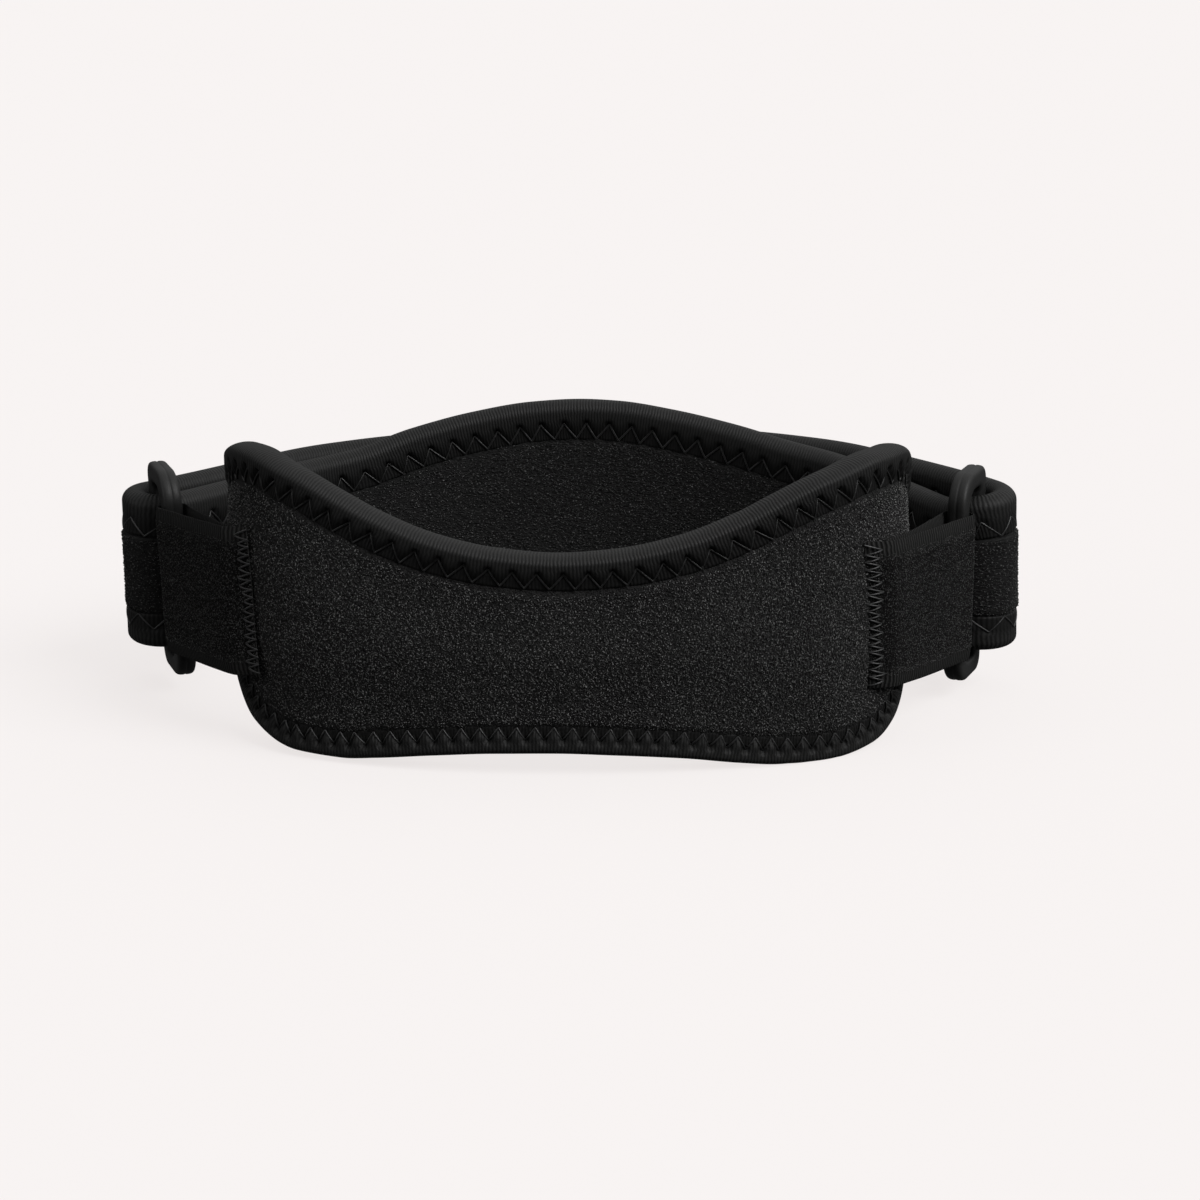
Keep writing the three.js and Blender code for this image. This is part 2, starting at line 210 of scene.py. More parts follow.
class ElasticSizes(bpy.types.PropertyGroup):
    """Sizes of the doubled elastics."""

    width: length("Width", "Webbing", 31.4)
    thickness: length("Thickness", "Webbing, with its room", 1.3)
    middle: length("Middle", "Height of the middle of the rings and elastics", 26)
    taper: length("Taper", "How much narrower the webbing is at its sewn ends", 1.2)
    drop_left: length("Drop left", "How much lower the webbing hangs in the left ring", 0.7)
    drop_right: length("Drop right", "How much lower the webbing hangs in the right ring", 1.3)
    rise_left: length("Rise left", "How much higher the sewn ends lie at the left", 4.5)
    rise_right: length("Rise right", "How much higher the sewn ends lie at the right", 2.4)
    slant: length("Slant", "How far the cut end runs off from upright, over half its height", 1.4)
    sewn_from: turn("Sewn from", "Heading of the pad where the ends are sewn", 42.5)
    border: length("Border", "Width of the ribbed borders", 3.4)
    seam_pitch: length("Seam pitch", "Length of one zigzag of the end seam", 1.9)
    seam_left: length("Seam left", "Width of the end seam at the left", 2.0)
    seam_right: length("Seam right", "Width of the end seam at the right", 2.8)


class RingSizes(bpy.types.PropertyGroup):
    """Sizes of the plastic rings."""

    height: length("Height", "Over the ring", 45)
    bar: length("Bar", "Thickness of the bars", 4.1)
    bar_pitch: length("Bar pitch", "From the near bar to the far bar", 12.8)
    near_x: length("Near bar across", "Place of the near bar", 82)
    near_y: length("Near bar back", "Place of the near bar", -4.1)
    turned: turn("Turned", "Direction from the near bar to the far bar", 69)
    near_corner: length("Near corner", "Outer corner radius beside the pad", 7.0)
    far_corner: length("Far corner", "Outer corner radius away from the pad", 3.0)
    near_slot_corner: length("Near slot corner", "Corner radius of the slot beside the pad", 4.2)
    far_slot_corner: length("Far slot corner", "Corner radius of the slot away from the pad", 1.6)
    shift_left: length("Shift left", "How far the left ring is drawn in", 0.9)
    shift_right: length("Shift right", "How far the right ring is drawn in", 0.7)
    lean_left: turn("Lean left", "How far the left ring leans out at the top", 2.9)
    lean_right: turn("Lean right", "How far the right ring leans out at the top", 0.0)
    parting: length("Parting line", "Depth of the groove where the halves of the mould met", 0.3)


class PileSizes(bpy.types.PropertyGroup):
    """Sizes of the loop pile and the hooks."""

    pad_loop: length("Pad loop", "Length of a loop on the pad", 0.7)
    pad_count: count("Pad loops", "Loops on a square centimetre of the pad's face", 620)
    pad_back_count: count("Pad back loops", "Loops on a square centimetre of the pad's back", 120)
    band_loop: length("Band loop", "Length of a loop on the band", 0.75)
    band_count: count("Band loops", "Loops on a square centimetre of the band", 340)
    fuzz: length("Fuzz", "Length of a loose loop on the elastic", 0.5)
    fuzz_count: count("Fuzz loops", "Loose loops on a square centimetre of the elastic", 900)
    hook: length("Hook", "Height of a hook", 0.7)
    hook_count: count("Hooks", "Hooks on a square centimetre", 110)
    seed: count("Seed", "Seed of the scatter", 7)


class Finishes(bpy.types.PropertyGroup):
    """Colours of the finishes."""

    pile_dark: colour("Pile shade", "Loop pile between the loops", (0.003, 0.003, 0.003))
    pile_light: colour("Pile light", "Loop pile on its loops", (0.0125, 0.0125, 0.0124))
    loop: colour("Loop", "Single loops that catch the light", (0.021, 0.021, 0.0207))
    lining_dark: colour("Lining shade", "Faces of the band between the loops", (0.003, 0.003, 0.003))
    lining_light: colour("Lining light", "Faces of the band on the loops", (0.0105, 0.0105, 0.0104))
    lining_loop: colour("Lining loop", "Single loops of the band", (0.015, 0.015, 0.0148))
    tape: colour("Tape", "Edge binding", (0.0067, 0.0067, 0.0066))
    thread: colour("Thread", "Zigzag thread", (0.003, 0.003, 0.003))
    elastic_dark: colour("Elastic shade", "Webbing between its yarns", (0.001, 0.001, 0.001))
    elastic_light: colour("Elastic light", "Webbing on its yarns", (0.0058, 0.0058, 0.0057))
    fuzz: colour("Fuzz", "Loose loops on the webbing", (0.0125, 0.0125, 0.0123))
    ring: colour("Ring", "Moulded plastic", (0.006, 0.006, 0.0059))
    hook: colour("Hook", "Hook patch", (0.007, 0.007, 0.007))
    floor: colour("Floor", "Colour of the lit floor", (0.94, 0.905, 0.896))


class StageSettings(bpy.types.PropertyGroup):
    """Camera and light."""

    distance: length("Camera distance", "From the middle of the support", 600)
    azimuth: turn("Camera azimuth", "Round the support from straight in front", 2)
    elevation: turn("Camera elevation", "Above the horizon", 15)
    focal: FloatProperty(name="Focal length", description="Camera lens, in millimetres", default=85.9)
    aim_right: length("Aim right", "Camera's aim to the right of the middle", 7.1)
    aim_down: length("Aim down", "Camera's aim below the middle", 6.9)
    room: share("Room", "Strength of the even light all round", 0.1)
    overhead: share("Overhead", "Strength of the light overhead, where it is brightest", 1.7)
    overhead_lean: turn("Overhead lean", "How far to the right the light overhead is brightest", 14)
    key: share("Key", "Strength of the key light", 4.9)
    key_azimuth: turn("Key azimuth", "Round the support from straight in front", 57)
    key_elevation: turn("Key elevation", "Above the horizon", 40)
    fill: share("Fill", "Strength of the fill light", 0.9)
    fill_azimuth: turn("Fill azimuth", "Round the support from straight in front", -70)
    fill_elevation: turn("Fill elevation", "Above the horizon", 15)
    softness: turn("Softness", "How wide the two lights look from the support", 36)
    floor_shade: share("Floor shade", "How much of the shadows shows on the floor", 0.07)


SETTINGS = {
    "knee_pad": PadSizes,
    "knee_band": BandSizes,
    "knee_tape": TapeSizes,
    "knee_elastic": ElasticSizes,
    "knee_ring": RingSizes,
    "knee_pile": PileSizes,
    "knee_finish": Finishes,
    "knee_stage": StageSettings,
}


def settings(name):
    """One group of the settings, such as those of the pad."""
    return getattr(bpy.context.scene, f"knee_{name}")


def side_setting(group, label, side):
    """A setting that the left and the right side have one each of."""
    return getattr(settings(group), f"{label}_{side}")


# Paths seen from above, and flat patterns bent along them

def right_of(heading):
    return np.stack([np.sin(heading), -np.cos(heading)], axis=-1)


def forward_of(heading):
    return np.stack([np.cos(heading), np.sin(heading)], axis=-1)


def touch_point(centre, radius, heading):
    """Where a path with a heading touches a circle, which a negative radius puts at its right."""
    return np.asarray(centre) + radius * right_of(heading)


class Belt:
    """A path that wraps round a row of circles: left round a positive radius, right round a negative one."""

    turned_back = 0.1
    shortest_leg = 1e-6

    def __init__(self, circles, start, end):
        self.legs = []
        self.length = 0.0
        heading = start
        whole_turn = 2 * math.pi
        for i, (centre, radius) in enumerate(circles):
            last = i == len(circles) - 1
            leave = end if last else self.run_heading(circles[i], circles[i + 1])
            # Of the headings a whole turn apart, the one that goes round the circle's own way or hardly back.
            half_turn_on = heading + math.copysign(math.pi - self.turned_back, radius)
            leave -= whole_turn * round((leave - half_turn_on) / whole_turn)
            self.add_leg(radius * (leave - heading), heading, leave - heading, np.asarray(centre), radius)
            if not last:
                begin = touch_point(centre, radius, leave)
                until = touch_point(*circles[i + 1], leave)
                self.add_leg(np.linalg.norm(until - begin), leave, 0.0, begin, 0.0)
            heading = leave

    @staticmethod
    def run_heading(one, other):
        """Heading of the straight run from one circle to the next."""
        (centre, radius), (next_centre, next_radius) = one, other
        across = np.asarray(next_centre) - np.asarray(centre)
        lean = np.clip((radius - next_radius) / np.linalg.norm(across), -1, 1)
        return math.atan2(across[1], across[0]) + math.asin(lean)

    def add_leg(self, distance, heading, turned, place, radius):
        """Adds an arc round a centre, or a straight run from a place where nothing is turned."""
        if distance > self.shortest_leg:
            self.legs.append((self.length, distance, heading, turned, place, radius))
            self.length += distance

    def at(self, distance):
        """Places and headings at distances along the path, which goes on straight past both its ends."""
        distance = np.asarray(distance, float)
        inside = np.clip(distance, 0, self.length)
        place = np.zeros(distance.shape + (2,))
        heading = np.zeros(distance.shape)
        for begun, span, start, turned, origin, radius in self.legs:
            here = inside >= begun
            rest = np.clip(inside[here] - begun, 0, span)
            heading[here] = start + turned * rest / span
            run = radius * right_of(heading[here]) if turned else rest[:, None] * forward_of(heading[here])
            place[here] = origin + run
        return place + (distance - inside)[..., None] * forward_of(heading), heading


def column_at(rows, column, along):
    """A column of a table of edges at distances along a piece, on a smooth curve through its rows."""
    x = np.array([row["along"] for row in rows]) * MM
    y = np.array([row[column] for row in rows]) * MM
    rise = np.diff(y) / np.diff(x)
    product = rise[:-1] * rise[1:]
    total = np.where(product > 0, rise[:-1] + rise[1:], 1.0)
    slope = np.zeros_like(y)
    slope[1:-1] = np.where(product > 0, 2 * product / total, 0.0)
    i = np.clip(np.searchsorted(x, along, side="right") - 1, 0, len(x) - 2)
    span = x[i + 1] - x[i]
    t = np.clip((along - x[i]) / span, 0, 1)
    bend = t * (1 - t) * span * (slope[i] * (1 - t) - slope[i + 1] * t)
    return y[i] + (y[i + 1] - y[i]) * t * t * (3 - 2 * t) + bend


def corner_drop(radius, from_end):
    """How far a round corner falls away at a distance from the end."""
    into = np.clip(radius - from_end, 0, radius)
    return radius - np.sqrt(radius**2 - into**2)


def smooth_step(value):
    """0 up to 0 and 1 from 1 on, with a smooth rise between."""
    t = np.clip(value, 0, 1)
    return t * t * (3 - 2 * t)


def bell(offset, width):
    """1 at no offset, falling smoothly to 0 over about twice the width."""
    return np.exp(-((offset / width) ** 2))


class FlatPattern:
    """A piece cut flat and bent along a path and its mirror image. Outward is 1 to the path's right."""

    tuck_from = 40 * MM
    tuck_over = 36 * MM
    splay_below = 36.4 * MM
    splay_over = 26 * MM
    fold_reach = 11 * MM
    crowding = 1.25
    outline_samples = 6001

    def __init__(self, path, rows, outward, sizes):
        self.path = path
        self.rows = rows
        self.outward = outward
        self.sizes = sizes
        self.half = sizes.thickness / 2

    def edge(self, name, along):
        """Heights of the upper or the lower edge, with its round corners."""
        drop = corner_drop(self.sizes.end_corner, self.path.length - np.abs(along))
        level = column_at(self.rows, name, along)
        return level + drop if name == "bottom" else level - drop

    def bend(self, along, height, outside):
        """Points of the bent piece, from places on the flat one and how far outside its middle they lie."""
        along, height, outside = np.broadcast_arrays(along, height, outside)
        place, heading = self.path.at(np.abs(along))
        place = place + self.outward * outside[..., None] * right_of(heading)
        drawn_in = smooth_step((np.abs(along) - self.tuck_from) / self.tuck_over)
        tuck = np.where(along < 0, self.sizes.left_tuck, self.sizes.right_tuck) * drawn_in
        low = (self.splay_below - height) / self.splay_over
        splay = np.where(along < 0, 0, self.sizes.right_splay) * low * self.folded(np.abs(along))
        x = np.sign(along) * (place[..., 0] - tuck + splay)
        return np.stack([x, place[..., 1], height], axis=-1)

    def folded(self, along):
        """How far a piece is stretched round a fold at distances from its middle, from 0 to 1."""
        fold = getattr(self.sizes, "fold_from_middle", None)
        return bell(along - fold, self.fold_reach) if fold else np.zeros_like(along)

    def stations(self, step):
        """Distances along the piece, closer together towards its round ends."""
        t = np.linspace(0, 1, int(self.path.length / step) + 1)
        half = self.path.length * (1 - (1 - t) ** self.crowding)
        return np.concatenate([-half[:0:-1], half])

    def outline(self, step):
        """The cut edge as evenly spaced points, the way in from each, 1 for an upper edge or 0 for a lower,
        how far along the edge each lies and the length of the edge."""
        samples = self.outline_samples
        t = np.linspace(-1, 1, samples)
        along = np.sign(t) * self.path.length * (1 - (1 - np.abs(t)) ** 2)
        upper = np.stack([along, self.edge("top", along)], -1)
        lower = np.stack([along, self.edge("bottom", along)], -1)[::-1]
        loop = np.concatenate([upper, lower, upper[:1]])
        run = run_lengths(loop)
        total = run[-1]
        where = np.arange(round(total / step)) * total / round(total / step)
        points = np.stack([np.interp(where, run, loop[:, k]) for k in (0, 1)], -1)
        is_upper = np.interp(where, run, np.repeat([1, 0, 1], [samples, samples, 1]))
        ahead = np.roll(points, -2, axis=0) - np.roll(points, 2, axis=0)
        inward = np.stack([ahead[:, 1], -ahead[:, 0]], -1)
        inward /= np.linalg.norm(inward, axis=1, keepdims=True)
        return points, inward, is_upper, where, total


def run_lengths(points):
    """Distances along a row of points, from 0."""
    return np.concatenate([[0], np.cumsum(np.linalg.norm(np.diff(points, axis=0), axis=-1))])


def pad_circles():
    """Centres of the pad's wide bow and of its right side."""
    pad = settings("pad")
    bow = np.array([0, pad.bow_radius - pad.reach])
    return bow, touch_point(bow, pad.bow_radius - pad.side_radius, pad.bow_turn)


def band_circles():
    """Centres of the band's bow behind the knee and of its right side."""
    band = settings("band")
    bow = np.array([0, band.reach - band.bow_radius])
    return bow, touch_point(bow, band.side_radius - band.bow_radius, -band.bow_turn)


def ring_bars():
    """Places of the near and far bars of the right ring."""
    ring = settings("ring")
    near = np.array([ring.near_x, ring.near_y])
    return near, near + ring.bar_pitch * forward_of(ring.turned)


def tape_reach():
    """From the foam to the outside of the tape."""
    tape = settings("tape")
    return tape.clearance + tape.thickness


def layer_pitch():
    """From the band to its folded-back end."""
    band = settings("band")
    return band.thickness + 2 * tape_reach() + band.layer_slack


def pad_pattern():
    """The pad, bent round the front of the knee."""
    pad = settings("pad")
    bow, side = pad_circles()
    end = pad.bow_turn + (pad.half_length - pad.bow_radius * pad.bow_turn) / pad.side_radius
    path = Belt([(bow, pad.bow_radius), (side, pad.side_radius)], 0.0, end)
    return FlatPattern(path, PAD_EDGES, 1, pad)


def band_pattern():
    """The band, bent behind the knee, through the rings and back along its own outside."""
    band = settings("band")
    ring = settings("ring")
    bow, side = band_circles()
    fold = ring.bar / 2 + settings("tape").clearance + tape_reach() + band.thickness / 2
    circles = [
        (bow, -band.bow_radius),
        (side, -band.side_radius),
        (ring_bars()[1], fold),
        (side, band.side_radius + layer_pitch()),
        (bow, band.bow_radius + layer_pitch()),
    ]
    return FlatPattern(Belt(circles, 0.0, math.pi - band.free_end), BAND_EDGES, -1, band)


# Meshes

def wobble(points, wavelength):
    """Smooth noise from -1 to 1 at points, given as pairs of coordinates."""
    flat = points.reshape(-1, 2) / wavelength
    return np.array([noise.noise(Vector((x, y, 0))) for x, y in flat]).reshape(points.shape[:-1])


def smooth_mesh(name, points, faces):
    """A mesh with smooth shading."""
    mesh = bpy.data.meshes.new(name)
    mesh.from_pydata(points, [], faces)
    mesh.polygons.foreach_set("use_smooth", [True] * len(mesh.polygons))
    return mesh


def turn_outwards(mesh):
    """Turns every face of a closed mesh to face out."""
    work = bmesh.new()
    work.from_mesh(mesh)
    bmesh.ops.recalc_face_normals(work, faces=work.faces)
    work.to_mesh(mesh)
    work.free()


def tube_mesh(name, rings, closed, u, v):
    """A closed mesh through rings of points, capped if their row is open. u runs along it, v round it."""
    rows, size = rings.shape[:2]
    i, j = np.meshgrid(np.arange(rows if closed else rows - 1), np.arange(size), indexing="ij")
    i, j = i.ravel(), j.ravel()
    after, beside = (i + 1) % rows, (j + 1) % size
    faces = np.stack([i * size + j, after * size + j, after * size + beside, i * size + beside], -1).tolist()
    if not closed:
        faces.append(list(range(size)))
        faces.append(list(range((rows - 1) * size, rows * size))[::-1])
    mesh = smooth_mesh(name, rings.reshape(-1, 3).tolist(), faces)
    cloth = np.zeros((len(mesh.loops), 2))
    quads = np.stack([u[i], v[j], u[i + 1], v[j], u[i + 1], v[j + 1], u[i], v[j + 1]], -1)
    cloth[: len(i) * 4] = quads.reshape(-1, 2)
    mesh.uv_layers.new(name="Cloth").data.foreach_set("uv", cloth.ravel())
    turn_outwards(mesh)
    return mesh


def sheet_mesh(name, points, wanted, flipped):
    """An open sheet through the wanted points of a grid, to carry a scatter."""
    rows, columns = points.shape[:2]
    whole = wanted[:-1, :-1] & wanted[1:, :-1] & wanted[:-1, 1:] & wanted[1:, 1:]
    i, j = np.nonzero(whole)
    corner = i * columns + j
    quads = np.stack([corner, corner + columns, corner + columns + 1, corner + 1], -1)
    return smooth_mesh(name, points.reshape(-1, 3).tolist(), (quads[:, ::-1] if flipped else quads).tolist())


def add_piece(name, mesh, material, replaced=()):
    """Puts a finished mesh in the scene as a piece of the support."""
    piece = bpy.data.objects.new(name, mesh)
    bpy.context.scene.collection.objects.link(piece)
    if not mesh.materials:
        mesh.materials.append(material)
    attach(piece, BODY)
    if replaced:
        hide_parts(*replaced)
    return piece


# Foam walls

class FoamWall:
    """Points of both faces of a foam wall, and how far each lies clear of the binding, negative under it."""

    swell_from = -0.7 * MM
    swell_over = 1.5 * MM
    unevenness = 0.22 * MM
    uneven_length = 19 * MM
    pucker_height = 0.12 * MM
    pucker_place = 0.8 * MM
    pucker_reach = 2 * MM
    pile_from = -0.2 * MM

    def __init__(self, pattern, step, rows, bulges):
        self.pattern = pattern
        stations = pattern.stations(step)
        bottom = pattern.edge("bottom", stations)[:, None]
        top = pattern.edge("top", stations)[:, None]
        self.height = bottom + (top - bottom) * np.linspace(0, 1, rows)
        self.along = np.broadcast_to(stations[:, None], self.height.shape)
        lean = np.cos(np.arctan(np.gradient(self.height, stations, axis=0)))
        below = (self.height - bottom) * lean[:, :1] - pattern.sizes.lower_leg
        above = (top - self.height) * lean[:, -1:] - pattern.sizes.upper_leg
        beyond = pattern.path.length - np.abs(self.along) - pattern.sizes.upper_leg
        self.clear = np.minimum(np.minimum(below, above), beyond)
        self.faces = {}
        for face, way in (("outer", 1), ("inner", -1)):
            outside = pattern.half + self.lift(way) + bulges[face](self.along, self.clear)
            self.faces[face] = pattern.bend(self.along, self.height, way * outside)

    def lift(self, way):
        """How far a face stands out: swollen clear of the binding, uneven, and puckered by the stitches.
        Shifted by way, the two faces don't get the same bumps."""
        beside = smooth_step((self.clear - self.swell_from) / self.swell_over)
        bumps = wobble(np.stack([self.along + way, self.height], -1), self.uneven_length)
        stitched = np.cos(2 * math.pi * self.along / self.pattern.sizes.upper_zigzag)
        pucker = self.pucker_height * stitched * bell(self.clear - self.pucker_place, self.pucker_reach)
        return (self.pattern.sizes.puff + self.unevenness * bumps) * beside + pucker

    def mesh(self, name):
        """The wall as one closed mesh."""
        rings = np.concatenate([self.faces["outer"], self.faces["inner"][:, ::-1]], axis=1)
        across = run_lengths(rings[len(rings) // 2])
        v = np.append(across, across[-1] + 2 * self.pattern.half)
        return tube_mesh(name, rings, False, self.along[:, 0], v)

    def carrier(self, name, face, wanted):
        """A sheet of one face that carries pile, where wanted and clear of the binding."""
        flipped = (face == "inner") == (self.pattern.outward > 0)
        return sheet_mesh(name, self.faces[face], wanted & (self.clear > self.pile_from), flipped)


# Edge binding

class Binding:
    """The tape folded over the cut edge of a flat pattern, and the zigzag seam that holds it."""

    # How the tape changes along the edge
    eased_stations = 31
    narrow_reach = 32 * MM
    seam_margin = 0.3 * MM
    taut_ledge = 0.35 * MM
    taut_share = 0.8

    # The roll, the crease along the thread, the strip past it, the holes and the edge of the tape
    roll_power = 5
    near_crease = 0.5 * MM
    far_crease = 0.4 * MM
    strip_after = 0.7 * MM
    strip_crease = 0.3 * MM
    near_hole = 0.6 * MM
    far_hole = 0.5 * MM
    far_hole_depth = 0.4
    edge_round = 0.35 * MM
    edge_share = 0.5
    least_rise = 0.05 * MM

    # The points of a section, its side against the foam, and the threads
    face_points = 19
    roll_points = 19
    foam_gap = 0.04 * MM
    foam_inset = 0.2 * MM
    fold_depth = 0.3 * MM
    near_thread = 0.7 * MM
    far_thread = 0.35 * MM
    thread_rise = 0.12 * MM

    def __init__(self, pattern, step):
        self.pattern = pattern
        self.tape = settings("tape")
        self.points, self.inward, is_upper, self.where, self.total = pattern.outline(step)
        beside = self.eased_stations // 2
        kernel = np.ones(self.eased_stations) / self.eased_stations
        wrapped = np.concatenate([is_upper[-beside:], is_upper, is_upper[:beside]])
        eased = np.convolve(wrapped, kernel, "valid")
        sizes = pattern.sizes
        along = np.abs(self.points[:, 0])
        narrowing = sizes.narrowing * bell(along, self.narrow_reach) * eased
        self.leg = sizes.lower_leg + (sizes.upper_leg - sizes.lower_leg) * eased - narrowing
        self.near = self.leg + narrowing - sizes.lower_seam - (sizes.upper_seam - sizes.lower_seam) * eased
        self.far = self.leg - self.seam_margin
        self.taut = pattern.folded(along)
        self.ledge = self.tape.ledge + self.taut_ledge * self.taut
        self.fullness = sizes.fullness + (self.ledge - sizes.fullness) * self.taut
        self.zigzag = sizes.lower_zigzag + (sizes.upper_zigzag - sizes.lower_zigzag) * eased
        turns = np.concatenate([[0], np.cumsum(self.total / len(self.where) / self.zigzag)])
        self.zigzags = round(turns[-1])
        self.phase = turns[:-1] * self.zigzags / turns[-1]

    def roll_middle(self, station):
        """How far in from the cut edge the roll is fullest."""
        return (self.near[station] - self.tape.overhang) / 2

    def outside(self, station, phase, inset):
        """How far the face of the tape stands outside the middle of the wall. The roll runs down to the
        zigzag, which pinches it, and past the zigzag the tape lies flat up to its edge."""
        near, far = self.near[station], self.far[station]
        ledge, fullness = self.ledge[station], self.fullness[station]
        loose = 1 - self.taut_share * self.taut[station]
        middle = self.roll_middle(station)
        phase = phase % 1
        down = 1 - np.abs(2 * phase - 1)
        thread = near + (far - near) * down
        crease = ledge - (self.near_crease + (self.far_crease - self.near_crease) * down) * loose
        into = np.clip((inset - middle) / (thread - middle), 0, 1)
        roll = crease + (fullness - crease) * (1 - into**self.roll_power)
        past = smooth_step((inset - thread) / self.strip_after)
        strip = crease + (ledge - self.strip_crease * loose - crease) * past
        rise = np.where(into < 1, roll, strip)
        near_gap = np.minimum(phase, 1 - phase) * self.zigzag[station]
        far_gap = np.abs(phase - 0.5) * self.zigzag[station]
        near_hole = bell(np.hypot(near_gap, inset - near), self.near_hole)
        far_hole = self.far_hole_depth * bell(np.hypot(far_gap, inset - far), self.far_hole)
        rise = rise - self.tape.dimple * loose * np.maximum(near_hole, far_hole)
        tuck = smooth_step((self.leg[station] - inset) / self.edge_round)
        kept = self.edge_share + (1 - self.edge_share) * tuck
        return self.pattern.half + self.least_rise + (rise - self.least_rise) * kept

    def bent(self, station, inset, outside):
        """Points of the tape by station, from how far in from the edge and outside the wall they lie."""
        place = self.points[station] + inset[..., None] * self.inward[station]
        points = self.pattern.bend(place[..., 0], place[..., 1], outside)
        points[..., 2] = np.maximum(points[..., 2], 0)
        return points

    def mesh(self, name):
        """The tape as one closed loop: a face, the roll, the other face, and the side against the foam."""
        station = np.arange(len(self.points))[:, None]
        leg = self.leg[:, None]
        middle = self.roll_middle(station)
        face_inset = middle + (leg - middle) * np.linspace(1, 0, self.face_points, endpoint=False)
        face = self.outside(station, self.phase[:, None], face_inset)
        angle = np.linspace(0, math.pi, self.roll_points)
        roll_inset = middle - (middle + self.tape.overhang) * np.sin(angle)
        roll = (self.pattern.half + self.fullness[:, None]) * np.cos(angle)
        under = self.pattern.half + self.foam_gap
        under_inset = np.concatenate([leg, 0 * leg + self.foam_inset], 1)
        inset = [
            face_inset,
            roll_inset,
            face_inset[:, ::-1],
            under_inset,
            0 * leg - self.fold_depth,
            under_inset[:, ::-1],
        ]
        outside = [
            face,
            roll,
            -face[:, ::-1],
            0 * under_inset - under,
            0 * leg,
            0 * under_inset + under,
        ]
        rings = self.bent(station, np.concatenate(inset, 1), np.concatenate(outside, 1))
        across = run_lengths(rings[0])
        ridge = across[face_inset.shape[1] + len(angle) // 2]
        v = np.append(across, across[-1] + MM) - ridge
        return tube_mesh(name, rings, True, np.append(self.where, self.total), v)

    def stitches(self):
        """Ends of every thread of the zigzag on both faces, and the way out from each."""
        phase = np.arange(2 * self.zigzags) / 2
        station = np.searchsorted(self.phase, phase - 0.5 * self.phase[1]) % len(self.points)
        at_roll = phase % 1 == 0
        inset = np.where(at_roll, self.near[station], self.far[station])
        above_hole = np.where(at_roll, self.near_thread, self.far_thread) * (1 - self.taut[station])
        outside = self.outside(station, phase, inset) + above_hole + self.thread_rise
        rows = []
        for way in (1, -1):
            begin = self.bent(station, inset, way * outside)
            out = self.bent(station, inset, way * (outside + MM)) - begin
            rows.append((begin, np.roll(begin, -1, axis=0), out + np.roll(out, -1, axis=0)))
        return [np.concatenate(parts) for parts in zip(*rows)]


# Elastics

